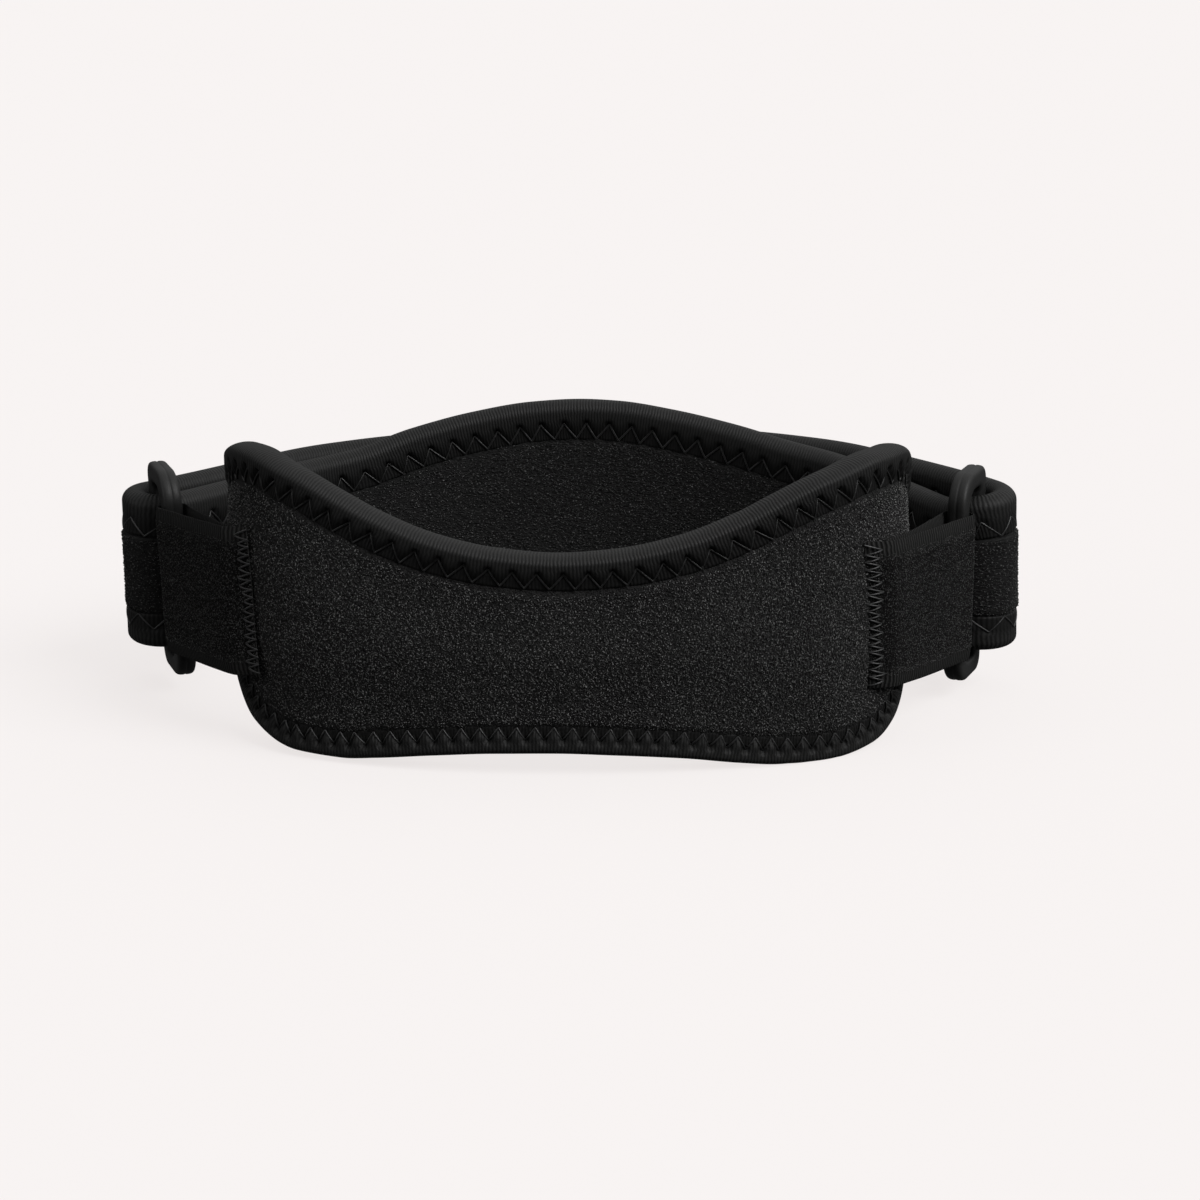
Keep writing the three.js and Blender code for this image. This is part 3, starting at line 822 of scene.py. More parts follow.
class Elastic:
    """A doubled webbing: out over the pad's face, round the ring's near bar and back under itself."""

    # The section, its thin cut end and how the seam presses that down
    half_thick = 0.5 * MM
    edge_half = 0.06 * MM
    edge_power = 14
    end_share = 0.1
    end_over = 1.6 * MM
    press_depth = 2.1 * MM
    press_over = 6.5 * MM

    # The rows of the borders, and the slack of the cloth
    row_height = 0.04 * MM
    row_pitch = 1.3 * MM
    ease_depth = 0.3 * MM
    ease_length = 11 * MM
    ease_across = 15 * MM

    # The grid of points, and the part of the borders that is bare of fuzz
    tail = 5 * MM
    columns = 33
    row_step = 0.55 * MM
    bare_share = 0.65

    # The end seam
    seam_share = 0.96
    stray_across = 0.016
    stray_along = 0.5 * MM
    past_end = 0.25 * MM
    end_rise = 0.1 * MM
    seam_rise = 0.66 * MM

    def __init__(self, name):
        self.side = SIDES[name]
        self.sizes = settings("elastic")
        ring = settings("ring")
        self.rise = side_setting("elastic", "rise", name)
        self.drop = side_setting("elastic", "drop", name)
        self.seam_width = side_setting("elastic", "seam", name)
        self.lean = side_setting("ring", "lean", name)
        self.shift = side_setting("ring", "shift", name)
        pad = settings("pad")
        clearance = settings("tape").clearance
        under = pad.thickness / 2 + tape_reach() + clearance + self.sizes.thickness / 2
        over = under + self.sizes.thickness + clearance
        wrap = ring.bar / 2 + clearance + self.sizes.thickness / 2
        side = pad_circles()[1]
        circles = [
            (side, pad.side_radius + over),
            (ring_bars()[0], wrap),
            (side, -pad.side_radius - under),
        ]
        self.path = Belt(circles, self.sizes.sewn_from, self.sizes.sewn_from + math.pi)

    def cut_end(self, across):
        """Where the upper layer's end is cut, along the path, by how far up or down its middle."""
        return self.side * self.sizes.slant * -across

    def pressed(self, from_end):
        """How far the seam presses the upper layer's end down."""
        return -self.press_depth * (1 - smooth_step(from_end / self.press_over))

    def bend(self, along, across, outside):
        """Points of the elastic. Across runs from -1 at its lower edge to 1 at its upper edge."""
        along, across, outside = np.broadcast_arrays(along, across, outside)
        place, heading = self.path.at(along)
        place = place + outside[..., None] * right_of(heading)
        towards_end = np.abs(1 - 2 * np.clip(along / self.path.length, 0, 1))
        rise = self.rise * towards_end - self.drop * (1 - towards_end)
        height = rise + across * (self.sizes.width - self.sizes.taper * towards_end) / 2
        out = (height * math.sin(self.lean) - self.shift) * (1 - towards_end)
        return np.stack([self.side * (place[..., 0] + out), place[..., 1], self.sizes.middle + height], -1)

    def face(self, along, across, way):
        """Points of one face, with rounded edges and ribbed borders, and loose as cloth is."""
        from_end = along - self.cut_end(across)
        thinned = self.end_share + (1 - self.end_share) * smooth_step(from_end / self.end_over)
        half = self.half_thick * (1 - np.abs(across) ** self.edge_power) * thinned + self.edge_half
        border = np.abs(across) * self.sizes.width / 2 > self.sizes.width / 2 - self.sizes.border
        rows = self.row_height * np.cos(across * self.sizes.width / self.row_pitch * math.pi) * border
        cloth = np.stack([along, across * self.ease_across + self.side], -1)
        ease = self.ease_depth * wobble(cloth, self.ease_length)
        outside = ease + self.pressed(from_end) + way * (half + rows)
        return self.bend(along, across, outside)

    def grid(self):
        """Places along and across the elastic."""
        across = np.sin(np.linspace(-math.pi / 2, math.pi / 2, self.columns))[None, :]
        begin = self.cut_end(across)
        shares = np.linspace(0, 1, int(self.path.length / self.row_step))[:, None]
        return begin + shares * (self.path.length - self.tail - begin), across + 0 * shares

    def mesh(self, name):
        """The webbing as one closed mesh."""
        along, across = self.grid()
        outer = self.face(along, across, 1)
        inner = self.face(along, across, -1)
        rings = np.concatenate([outer, inner[:, ::-1]], axis=1)
        height = (across[0] + 1) * self.sizes.width / 2
        v = np.concatenate([height, height[::-1], height[:1]])
        return tube_mesh(name, rings, False, along.mean(axis=1), v)

    def fuzz_carrier(self, name):
        """The sheet of the upper layer's face that carries loose loops."""
        along, across = self.grid()
        inner = 1 - 2 * self.bare_share * self.sizes.border / self.sizes.width
        on_top = (along < self.path.length / 2) & (np.abs(across) < inner)
        return sheet_mesh(name, self.face(along, across, 1), on_top, self.side < 0)

    def end_seam(self):
        """Threads of the zigzag that sews the end to the pad."""
        holes = 2 * round(self.sizes.width / self.sizes.seam_pitch) + 1
        by_hand = np.random.default_rng(settings("pile").seed)
        across = np.linspace(-self.seam_share, self.seam_share, holes)
        across = across + by_hand.uniform(-self.stray_across, self.stray_across, holes)
        at_edge = np.arange(holes) % 2 == 0
        stray = by_hand.uniform(-self.stray_along, self.stray_along, holes)
        along = self.cut_end(across) + np.where(at_edge, -self.past_end, self.seam_width + stray)
        rise = np.where(at_edge, self.end_rise, self.seam_rise)
        outside = self.pressed(along - self.cut_end(across)) + rise
        begin = self.bend(along, across, outside)
        out = self.bend(along, across, outside + MM) - begin
        return begin[:-1], begin[1:], out[:-1] + out[1:]


# Rings and hook patches

def rounded_rectangle(half, near_corner, far_corner, steps):
    """Points of a rectangle with round corners, the far ones at its right."""
    points = []
    for k, (x, y) in enumerate(((1, 1), (-1, 1), (-1, -1), (1, -1))):
        corner = far_corner if x > 0 else near_corner
        for i in range(steps + 1):
            angle = (k + i / steps) * math.pi / 2
            way = np.array([math.cos(angle), math.sin(angle)])
            points.append(np.array([x, y]) * (half - corner) + corner * way)
    return np.array(points)


def ring_mesh(name, side):
    """A soft-edged bar led round a slot, leaning out at the top, with a parting line along its rim."""
    ring = settings("ring")
    lean = side_setting("ring", "lean", side)
    shift = side_setting("ring", "shift", side)
    corner_steps = 14
    section_points = 72
    squareness = 4.0
    groove_width = 0.09
    half = np.array([ring.bar_pitch / 2, (ring.height - ring.bar) / 2])
    rim = rounded_rectangle(half + ring.bar / 2, ring.near_corner, ring.far_corner, corner_steps)
    slot = rounded_rectangle(half - ring.bar / 2, ring.near_slot_corner, ring.far_slot_corner, corner_steps)
    angle = np.linspace(0, 2 * math.pi, section_points, endpoint=False)
    bulge = (np.abs(np.cos(angle)) ** squareness + np.abs(np.sin(angle)) ** squareness) ** (-1 / squareness)
    groove = ring.parting / ring.bar * bell(np.sin(angle), groove_width) * np.sign(np.cos(angle))
    across = bulge * np.cos(angle) - groove
    flat = (rim + slot)[:, None, :] / 2 + across[None, :, None] * (rim - slot)[:, None, :] / 2
    deep = ring.bar / 2 * bulge * np.sin(angle) + flat[..., 1] * math.sin(lean)
    level = flat[..., :1] * forward_of(ring.turned) + deep[..., None] * right_of(ring.turned)
    level = level + sum(ring_bars()) / 2
    x = SIDES[side] * (level[..., 0] - shift)
    rings = np.stack([x, level[..., 1], settings("elastic").middle + flat[..., 1]], -1)
    u = run_lengths(np.concatenate([rim, rim[:1]]))
    return tube_mesh(name, rings, True, u, np.append(angle, 2 * math.pi) * ring.bar / 2)


def hook_patch(name, way):
    """The patch's backing, and the sheet of its face that carries the hooks. Way is -1 at the left."""
    band = settings("band")
    bow, centre = band_circles()
    out = layer_pitch() / 2
    circles = [(bow, -band.bow_radius - out), (centre, -band.side_radius - out)]
    begin = math.radians(16.5)
    end = math.radians(44)
    tall = 15 * MM
    backing = 0.7 * MM
    columns = 34
    rows = 13
    path = Belt(circles, -begin, -end)
    behind = layer_pitch() / 2 - band.thickness / 2 - settings("tape").clearance
    along = np.linspace(0, path.length, columns)
    height = settings("elastic").middle + np.linspace(-0.5, 0.5, rows) * tall
    place, heading = path.at(along)
    faces = []
    for outside in (-behind, backing - behind):
        level = place + outside * right_of(heading)
        x, y, z = np.broadcast_arrays(way * level[:, :1], level[:, 1:], height)
        faces.append(np.stack([x, y, z], -1))
    rings = np.concatenate([faces[0], faces[1][:, ::-1]], axis=1)
    round_it = run_lengths(rings[0])
    mesh = tube_mesh(name, rings, False, along, np.append(round_it, round_it[-1] + backing))
    everywhere = np.full(faces[1].shape[:2], True)
    return mesh, sheet_mesh(f"{name}_face", faces[1], everywhere, way < 0)


# Geometry Nodes

class NodeMaker:
    """Adds nodes to a tree."""

    def __init__(self, tree):
        self.tree = tree

    def add(self, kind, values=None, **options):
        """A node with its options set, and values or links in its inputs by name or number."""
        node = self.tree.nodes.new(kind)
        for option, value in options.items():
            setattr(node, option, value)
        for key, value in (values or {}).items():
            if isinstance(value, bpy.types.NodeSocket):
                self.tree.links.new(value, node.inputs[key])
            else:
                node.inputs[key].default_value = value
        return node

    def math(self, operation, one, other=0.0):
        return self.add("ShaderNodeMath", {0: one, 1: other}, operation=operation).outputs[0]


class GeometryTree(NodeMaker):
    """A Geometry Nodes tree with named inputs that turns a carrier mesh into real geometry."""

    def __init__(self, name, inputs):
        super().__init__(bpy.data.node_groups.new(name, "GeometryNodeTree"))
        face = self.tree.interface
        face.new_socket("Geometry", in_out="INPUT", socket_type="NodeSocketGeometry")
        self.sockets = {}
        for label, kind in inputs.items():
            socket = face.new_socket(label, in_out="INPUT", socket_type=f"NodeSocket{kind}")
            self.sockets[label] = socket.identifier
        face.new_socket("Geometry", in_out="OUTPUT", socket_type="NodeSocketGeometry")
        self.given = self.add("NodeGroupInput").outputs

    def finish(self, geometry, material):
        """Realizes the instances and sets their material."""
        real = self.add("GeometryNodeRealizeInstances", {0: geometry})
        painted = self.add("GeometryNodeSetMaterial", {0: real.outputs[0], "Material": material})
        self.add("NodeGroupOutput", {0: painted.outputs[0]})

    def grow(self, name, carrier, values):
        """The plain mesh that the tree makes from a carrier mesh."""
        holder = bpy.data.objects.new(name, carrier)
        bpy.context.scene.collection.objects.link(holder)
        modifier = holder.modifiers.new(name, "NODES")
        modifier.node_group = self.tree
        for label, value in values.items():
            modifier[self.sockets[label]] = value
        depsgraph = bpy.context.evaluated_depsgraph_get()
        mesh = bpy.data.meshes.new_from_object(holder.evaluated_get(depsgraph))
        mesh.name = name
        mesh.polygons.foreach_set("use_smooth", [True] * len(mesh.polygons))
        bpy.data.objects.remove(holder)
        bpy.data.meshes.remove(carrier)
        return mesh


def stitch_tree():
    """Threads laid from hole to hole: a bowed tube at each point, turned and stretched by its attributes."""
    tree = GeometryTree("Zigzag threads", {"Thickness": "Float", "Bow": "Float", "Thread": "Material"})
    bow = tree.add("ShaderNodeCombineXYZ", {"Z": tree.given["Bow"]})
    bowed = tree.add(
        "GeometryNodeCurveQuadraticBezier",
        {"Resolution": 6, "Start": (-0.5, 0, 0), "Middle": bow.outputs[0], "End": (0.5, 0, 0)},
    )
    half = tree.math("MULTIPLY", tree.given["Thickness"], 0.5)
    section = tree.add("GeometryNodeCurvePrimitiveCircle", {"Resolution": 6, "Radius": half})
    thread = tree.add(
        "GeometryNodeCurveToMesh",
        {"Curve": bowed.outputs[0], "Profile Curve": section.outputs[0], "Fill Caps": True},
    )
    along = tree.add("GeometryNodeInputNamedAttribute", {"Name": "along"}, data_type="FLOAT_VECTOR")
    out = tree.add("GeometryNodeInputNamedAttribute", {"Name": "out"}, data_type="FLOAT_VECTOR")
    reach = tree.add("ShaderNodeVectorMath", {0: along.outputs[0]}, operation="LENGTH")
    size = tree.add("ShaderNodeCombineXYZ", {"X": reach.outputs["Value"], "Y": 1.0, "Z": 1.0})
    laid = tree.add("FunctionNodeAlignRotationToVector", {"Vector": along.outputs[0]}, axis="X")
    raised = tree.add(
        "FunctionNodeAlignRotationToVector",
        {"Rotation": laid.outputs[0], "Vector": out.outputs[0]},
        axis="Z",
        pivot_axis="X",
    )
    places = {
        "Points": tree.given["Geometry"],
        "Instance": thread.outputs[0],
        "Rotation": raised.outputs[0],
        "Scale": size.outputs[0],
    }
    placed = tree.add("GeometryNodeInstanceOnPoints", places)
    tree.finish(placed.outputs[0], tree.given["Thread"])
    return tree


def pile_tree():
    """Small pieces scattered over a sheet, standing on it, each turned, leaning and sized at random."""
    inputs = {
        "Loop": "Object",
        "Density": "Float",
        "Length": "Float",
        "Spin": "Float",
        "Lean": "Float",
        "Seed": "Int",
        "Pile": "Material",
    }
    tree = GeometryTree("Scattered pile", inputs)
    given = tree.given
    spread = tree.add(
        "GeometryNodeDistributePointsOnFaces",
        {"Mesh": given["Geometry"], "Density": given["Density"], "Seed": given["Seed"]},
    )

    def between(low, high, seed):
        """A random number for each of the pieces."""
        return tree.add("FunctionNodeRandomValue", {2: low, 3: high, "Seed": seed}).outputs[1]

    spin = between(tree.math("MULTIPLY", given["Spin"], -1.0), given["Spin"], 11)
    lean = between(tree.math("MULTIPLY", given["Lean"], -1.0), given["Lean"], 12)
    big = between(0.6, 1.4, 13)
    turned = tree.add("ShaderNodeCombineXYZ", {"X": lean, "Z": spin})
    extra = tree.add("FunctionNodeEulerToRotation", {0: turned.outputs[0]})
    rotation = tree.add(
        "FunctionNodeRotateRotation",
        {0: spread.outputs["Rotation"], 1: extra.outputs[0]},
        rotation_space="LOCAL",
    )
    shape = tree.add("GeometryNodeObjectInfo", {"Object": given["Loop"]}, transform_space="ORIGINAL")
    places = {
        "Points": spread.outputs["Points"],
        "Instance": shape.outputs["Geometry"],
        "Rotation": rotation.outputs[0],
        "Scale": tree.math("MULTIPLY", given["Length"], big),
    }
    placed = tree.add("GeometryNodeInstanceOnPoints", places)
    tree.finish(placed.outputs[0], given["Pile"])
    return tree


def sewn_mesh(name, begin, end, out, bow):
    """Threads from holes to holes: one point for each, with its direction and the way out as attributes."""
    carrier = bpy.data.meshes.new(name)
    carrier.from_pydata(((begin + end) / 2).tolist(), [], [])
    for label, vectors in (("along", end - begin), ("out", out)):
        attribute = carrier.attributes.new(label, "FLOAT_VECTOR", "POINT")
        attribute.data.foreach_set("vector", vectors.ravel())
    values = {"Thickness": settings("tape").thread, "Bow": bow, "Thread": zigzag_thread()}
    return stitch_tree().grow(name, carrier, values)


def arch_mesh(name, rise, thickness):
    """A small closed arch of unit length, pointed at both feet, to be scattered as a loop of pile."""
    foot = -0.1
    points = [(-0.5, 0.0, foot), (0.5, 0.0, foot), (0.0, -thickness, rise), (0.0, thickness, rise)]
    mesh = smooth_mesh(name, points, [(0, 2, 3), (1, 3, 2), (0, 1, 2), (1, 0, 3)])
    turn_outwards(mesh)
    return mesh


def add_scattered(name, carrier, arch, per_square_cm, long, spin, lean, material, slot):
    """Adds a piece of arches scattered over a carrier, turned and leaning by up to the given angles."""
    square_cm_in_metre = 1e4
    shape = bpy.data.objects.new(arch.name, arch)
    values = {
        "Loop": shape,
        "Density": per_square_cm * square_cm_in_metre,
        "Length": long,
        "Spin": spin,
        "Lean": lean,
        "Seed": settings("pile").seed,
        "Pile": material,
    }
    mesh = pile_tree().grow(name, carrier, values)
    bpy.data.objects.remove(shape)
    add_piece(name, mesh, material)


# Materials

class ShaderTree(NodeMaker):
    """Shader nodes of a material or a group."""

    def mix(self, amount, dark, light):
        return self.add("ShaderNodeMix", {0: amount, 6: dark, 7: light}, data_type="RGBA").outputs[2]

    def shades(self, amount, tone, dark, light):
        """A tone made darker and lighter by an amount that varies over the surface."""
        return self.mix(amount, (*(dark * c for c in tone), 1.0), (*(light * c for c in tone), 1.0))

    def noise(self, place, scale, detail):
        values = {"Vector": place, "Scale": scale, "Detail": detail}
        return self.add("ShaderNodeTexNoise", values).outputs[0]

    def cloth_place(self):
        """Place on the cloth in metres, along it and across it."""
        return self.add("ShaderNodeUVMap", uv_map="Cloth").outputs[0]

    def object_place(self):
        return self.add("ShaderNodeTexCoord").outputs["Object"]

    def group(self, make, place, **values):
        """One of the shared groups, which is made the first time it is needed."""
        name = make.__doc__.split(":")[0]
        node = self.add("ShaderNodeGroup", node_tree=bpy.data.node_groups.get(name) or make(name))
        self.tree.links.new(place, node.inputs["Vector"])
        for label, value in values.items():
            node.inputs[label].default_value = value
        return node.outputs


def shader_group(name, inputs, outputs):
    """A new shader node group with named sockets, as its builder and its inputs."""
    group = bpy.data.node_groups.new(name, "ShaderNodeTree")
    for label, kind in {"Vector": "Vector", **inputs}.items():
        group.interface.new_socket(label, in_out="INPUT", socket_type=f"NodeSocket{kind}")
    for label, kind in outputs.items():
        group.interface.new_socket(label, in_out="OUTPUT", socket_type=f"NodeSocket{kind}")
    shader = ShaderTree(group)
    return group, shader, shader.add("NodeGroupInput").outputs


def brushed_nap(name):
    """Brushed nap: tufts of a given size with fine fibres over them, as a colour and a height."""
    inputs = {"Size": "Float", "Dark": "Color", "Light": "Color"}
    group, shader, given = shader_group(name, inputs, {"Color": "Color", "Height": "Float"})
    place = given["Vector"]
    scale = shader.math("DIVIDE", 1.0, given["Size"])
    tufts = shader.noise(place, scale, 3.0)
    fibre_scale = shader.math("MULTIPLY", scale, 2.3)
    fibres = shader.add("ShaderNodeTexVoronoi", {"Vector": place, "Scale": fibre_scale})
    patches = shader.noise(place, shader.math("MULTIPLY", scale, 0.045), 2.0)
    height = shader.math("SUBTRACT", tufts, shader.math("MULTIPLY", fibres.outputs["Distance"], 0.5))
    spread = shader.add("ShaderNodeMapRange", {"Value": height, "From Min": -0.05, "From Max": 0.55})
    shade = shader.math("MULTIPLY", spread.outputs[0], shader.math("ADD", patches, 0.45))
    tint = shader.mix(shade, given["Dark"], given["Light"])
    shader.add("NodeGroupOutput", {"Color": tint, "Height": height})
    return group


def fine_ribs(name):
    """Fine ribs: uneven ribs across a strip, as a height. The first coordinate runs along the strip."""
    group, shader, given = shader_group(name, {"Pitch": "Float", "Waver": "Float"}, {"Height": "Float"})
    along = shader.add("ShaderNodeSeparateXYZ", {0: given["Vector"]}).outputs[0]
    drift = shader.noise(given["Vector"], 420.0, 1.0)
    ribs = shader.math("DIVIDE", along, given["Pitch"])
    wavered = shader.math("ADD", ribs, shader.math("MULTIPLY", drift, given["Waver"]))
    wave = shader.math("SINE", shader.math("MULTIPLY", wavered, 2 * math.pi))
    shader.add("NodeGroupOutput", {"Height": shader.math("MULTIPLY", wave, 0.5)})
    return group


class Finish:
    """A material under construction, with its principled shader."""

    def __init__(self, name, roughness, specular):
        self.material = bpy.data.materials.new(name)
        self.material.use_nodes = True
        self.shader = ShaderTree(self.material.node_tree)
        self.inputs = self.material.node_tree.nodes["Principled BSDF"].inputs
        self.inputs["Roughness"].default_value = roughness
        self.inputs["Specular IOR Level"].default_value = specular

    def link(self, output, label):
        self.shader.tree.links.new(output, self.inputs[label])

    def bump(self, height, distance):
        node = self.shader.add("ShaderNodeBump", {"Height": height, "Distance": distance})
        self.link(node.outputs[0], "Normal")


def made_once(make):
    """Makes a material the first time and gives the same one afterwards."""
    def get():
        return bpy.data.materials.get(make.__name__) or make(make.__name__)
    return get


def rgba(tone):
    return (*tone, 1.0)


def nap_finish(name, dark, light, size, stretch, depth):
    """Brushed loop cloth. A stretch over 1 draws its tufts out along the piece."""
    finish = Finish(name, roughness=0.95, specular=0.06)
    shader = finish.shader
    values = {"Vector": shader.cloth_place(), "Scale": (1 / stretch, 1.0, 1.0)}
    drawn = shader.add("ShaderNodeMapping", values).outputs[0]
    nap = shader.group(brushed_nap, drawn, Size=size, Dark=rgba(dark), Light=rgba(light))
    finish.link(nap["Color"], "Base Color")
    finish.bump(nap["Height"], depth)
    return finish.material


def loop_finish(name, tone):
    """Single loops, a few of them much lighter than the rest."""
    finish = Finish(name, roughness=0.65, specular=0.06)
    shader = finish.shader
    # Painted glints: loops are painted from a tenth to five times the tone, the lightest standing in for
    # light caught on their fibres.
    patches = shader.noise(shader.object_place(), 3600.0, 1.0)
    lit = shader.add("ShaderNodeMapRange", {"Value": patches, "From Min": 0.44, "From Max": 0.72}).outputs[0]
    finish.link(shader.shades(lit, tone, 0.1, 5.0), "Base Color")
    return finish.material


@made_once
def loop_pile(name):
    """The brushed face of the pad."""
    tones = settings("finish")
    nap = {"size": 0.75 * MM, "stretch": 1.0, "depth": 0.7 * MM}
    return nap_finish(name, tones.pile_dark, tones.pile_light, **nap)


@made_once
def band_lining(name):
    """The brushed faces of the band."""
    tones = settings("finish")
    nap = {"size": 0.6 * MM, "stretch": 2.4, "depth": 0.45 * MM}
    return nap_finish(name, tones.lining_dark, tones.lining_light, **nap)


@made_once
def pile_loops(name):
    """Single loops, some lighter than others."""
    return loop_finish(name, settings("finish").loop)


@made_once
def lining_loops(name):
    """Single loops of the band, some lighter than others."""
    return loop_finish(name, settings("finish").lining_loop)


@made_once
def elastic_fuzz(name):
    """Loose loops on the elastic, some lighter than others."""
    return loop_finish(name, settings("finish").fuzz)


@made_once
def edge_tape(name):
    """Smooth stretch tape with fine ribs across it, paler over the ridge of the roll, which stretches it."""
    finish = Finish(name, roughness=0.52, specular=0.06)
    shader = finish.shader
    place = shader.cloth_place()
    ribs = shader.group(fine_ribs, place, Pitch=0.68 * MM, Waver=0.9)
    grain = shader.noise(place, 2600.0, 2.0)
    height = shader.math("ADD", ribs["Height"], shader.math("MULTIPLY", grain, 0.6))
    lit = shader.math("ADD", shader.math("MULTIPLY", height, 0.7), 0.35)
    from_ridge = shader.math("ABSOLUTE", shader.add("ShaderNodeSeparateXYZ", {0: place}).outputs[1])
    # Painted shading: the tape is painted paler over the ridge of the roll and darker towards the seam, where
    # shade falls.
    painted_roll_shading = shader.add(
        "ShaderNodeMapRange",
        {"Value": from_ridge, "From Min": 3.5 * MM, "From Max": 8.5 * MM, "To Min": 1.0, "To Max": 0.25},
    ).outputs[0]
    ribs_and_painted_shading = shader.math("MULTIPLY", lit, painted_roll_shading)
    finish.link(shader.shades(ribs_and_painted_shading, settings("finish").tape, 0.3, 1.7), "Base Color")
    finish.bump(height, 0.08 * MM)
    return finish.material


@made_once
def zigzag_thread(name):
    """Glossy black thread with a fine twist."""
    finish = Finish(name, roughness=0.42, specular=0.3)
    twist = finish.shader.noise(finish.shader.object_place(), 3000.0, 1.0)
    finish.link(finish.shader.shades(twist, settings("finish").thread, 0.5, 1.6), "Base Color")
    finish.bump(twist, 0.06 * MM)
    return finish.material


@made_once
def elastic_knit(name):
    """Knitted webbing: a fuzzy nap between ribbed borders."""
    tones = settings("finish")
    sizes = settings("elastic")
    finish = Finish(name, roughness=0.85, specular=0.02)
    shader = finish.shader
    place = shader.cloth_place()
    dark, light = rgba(tones.elastic_dark), rgba(tones.elastic_light)
    nap = shader.group(brushed_nap, place, Size=0.5 * MM, Dark=dark, Light=light)
    ribs = shader.group(fine_ribs, place, Pitch=0.95 * MM, Waver=0.6)
    height_up = shader.add("ShaderNodeSeparateXYZ", {0: place}).outputs[1]
    from_edge = shader.math("MINIMUM", height_up, shader.math("SUBTRACT", sizes.width, height_up))
    body = shader.add(
        "ShaderNodeMapRange",
        {"Value": from_edge, "From Min": sizes.border - 1.4 * MM, "From Max": sizes.border + 1.4 * MM},
    ).outputs[0]
    ribbed = shader.math("MULTIPLY", ribs["Height"], shader.math("SUBTRACT", 1.15, body))
    fuzzy = shader.math("MULTIPLY", nap["Height"], shader.math("ADD", body, 0.35))
    height = shader.math("ADD", fuzzy, ribbed)
    # Painted sheen and shade: the borders are painted lighter than the body, lighter on each rib's crest and
    # darker between the ribs.
    border = shader.shades(shader.math("ADD", ribs["Height"], 0.5), tones.elastic_light, 0.7, 2.5)
    finish.link(shader.mix(body, border, nap["Color"]), "Base Color")
    finish.bump(height, 0.28 * MM)
    return finish.material


@made_once
def ring_plastic(name):
    """Satin moulded plastic with a fine grain and slight handling marks."""
    finish = Finish(name, roughness=0.5, specular=0.12)
    shader = finish.shader
    place = shader.object_place()
    marks = shader.noise(place, 140.0, 4.0)
    finish.link(shader.shades(marks, settings("finish").ring, 0.8, 1.25), "Base Color")
    finish.link(shader.math("ADD", shader.math("MULTIPLY", marks, 0.2), 0.4), "Roughness")
    finish.bump(shader.noise(place, 1800.0, 3.0), 0.03 * MM)
    return finish.material


@made_once
def hook_tape(name):
    """Stiff hook tape with rows across it."""
    finish = Finish(name, roughness=0.6, specular=0.3)
    ribs = finish.shader.group(fine_ribs, finish.shader.cloth_place(), Pitch=1.2 * MM, Waver=0.1)
    lit = finish.shader.math("ADD", ribs["Height"], 0.5)
    finish.link(finish.shader.shades(lit, settings("finish").hook, 0.6, 1.4), "Base Color")
    finish.bump(ribs["Height"], 0.1 * MM)
    return finish.material


@made_once
def hook_stems(name):
    """Stiff plastic hooks."""
    finish = Finish(name, roughness=0.45, specular=0.4)
    marks = finish.shader.noise(finish.shader.object_place(), 600.0, 1.0)
    finish.link(finish.shader.shades(marks, settings("finish").hook, 0.6, 1.5), "Base Color")
    return finish.material


@made_once
def studio_floor(name):
    """A floor that glows by itself, on which the room and the lights still leave a faint shadow."""
    stage = settings("stage")
    finish = Finish(name, roughness=0.9, specular=0.0)
    patches = finish.shader.noise(finish.shader.object_place(), 3.0, 1.0)
    shade = [stage.floor_shade] * 3
    finish.link(finish.shader.shades(patches, shade, 0.99, 1.01), "Base Color")
    # A level floor gets two thirds of a light that fades from overhead to nothing at the horizon.
    room = stage.room + (stage.overhead - stage.room) * 2 / 3
    lamps = stage.key * math.sin(stage.key_elevation) + stage.fill * math.sin(stage.fill_elevation)
    lit_above = stage.floor_shade * (room + lamps / math.pi)
    finish.inputs["Emission Color"].default_value = rgba([c - lit_above for c in settings("finish").floor])
    finish.inputs["Emission Strength"].default_value = 1.0
    return finish.material


# Operators

class KNEE_OT_pad(bpy.types.Operator):
    """Make the front pad and brush its loop pile"""

    bl_idname = "knee.pad"
    bl_label = "Front pad"

    def execute(self, context):
        pile = settings("pile")
        crown = settings("pad").crown
        crown_over = 16 * MM
        bulges = {
            "outer": lambda along, clear: crown * smooth_step(clear / crown_over),
            "inner": lambda along, clear: 0.0,
        }
        wall = FoamWall(pad_pattern(), step=1.0 * MM, rows=54, bulges=bulges)
        pad = add_piece("front_pad_foam", wall.mesh("front_pad_foam"), loop_pile(), ["front_pad"])
        arch = arch_mesh("pad_loop", rise=0.2, thickness=0.1)
        look = {"spin": math.pi, "lean": 0.5, "material": pile_loops(), "slot": "pile"}
        everywhere = np.full(wall.clear.shape, True)
        for face, per_square_cm in (("outer", pile.pad_count), ("inner", pile.pad_back_count)):
            name = f"front_pad_pile_{face}"
            carrier = wall.carrier(name, face, everywhere)
            add_scattered(name, carrier, arch, per_square_cm, pile.pad_loop, **look)
        return {"FINISHED"}


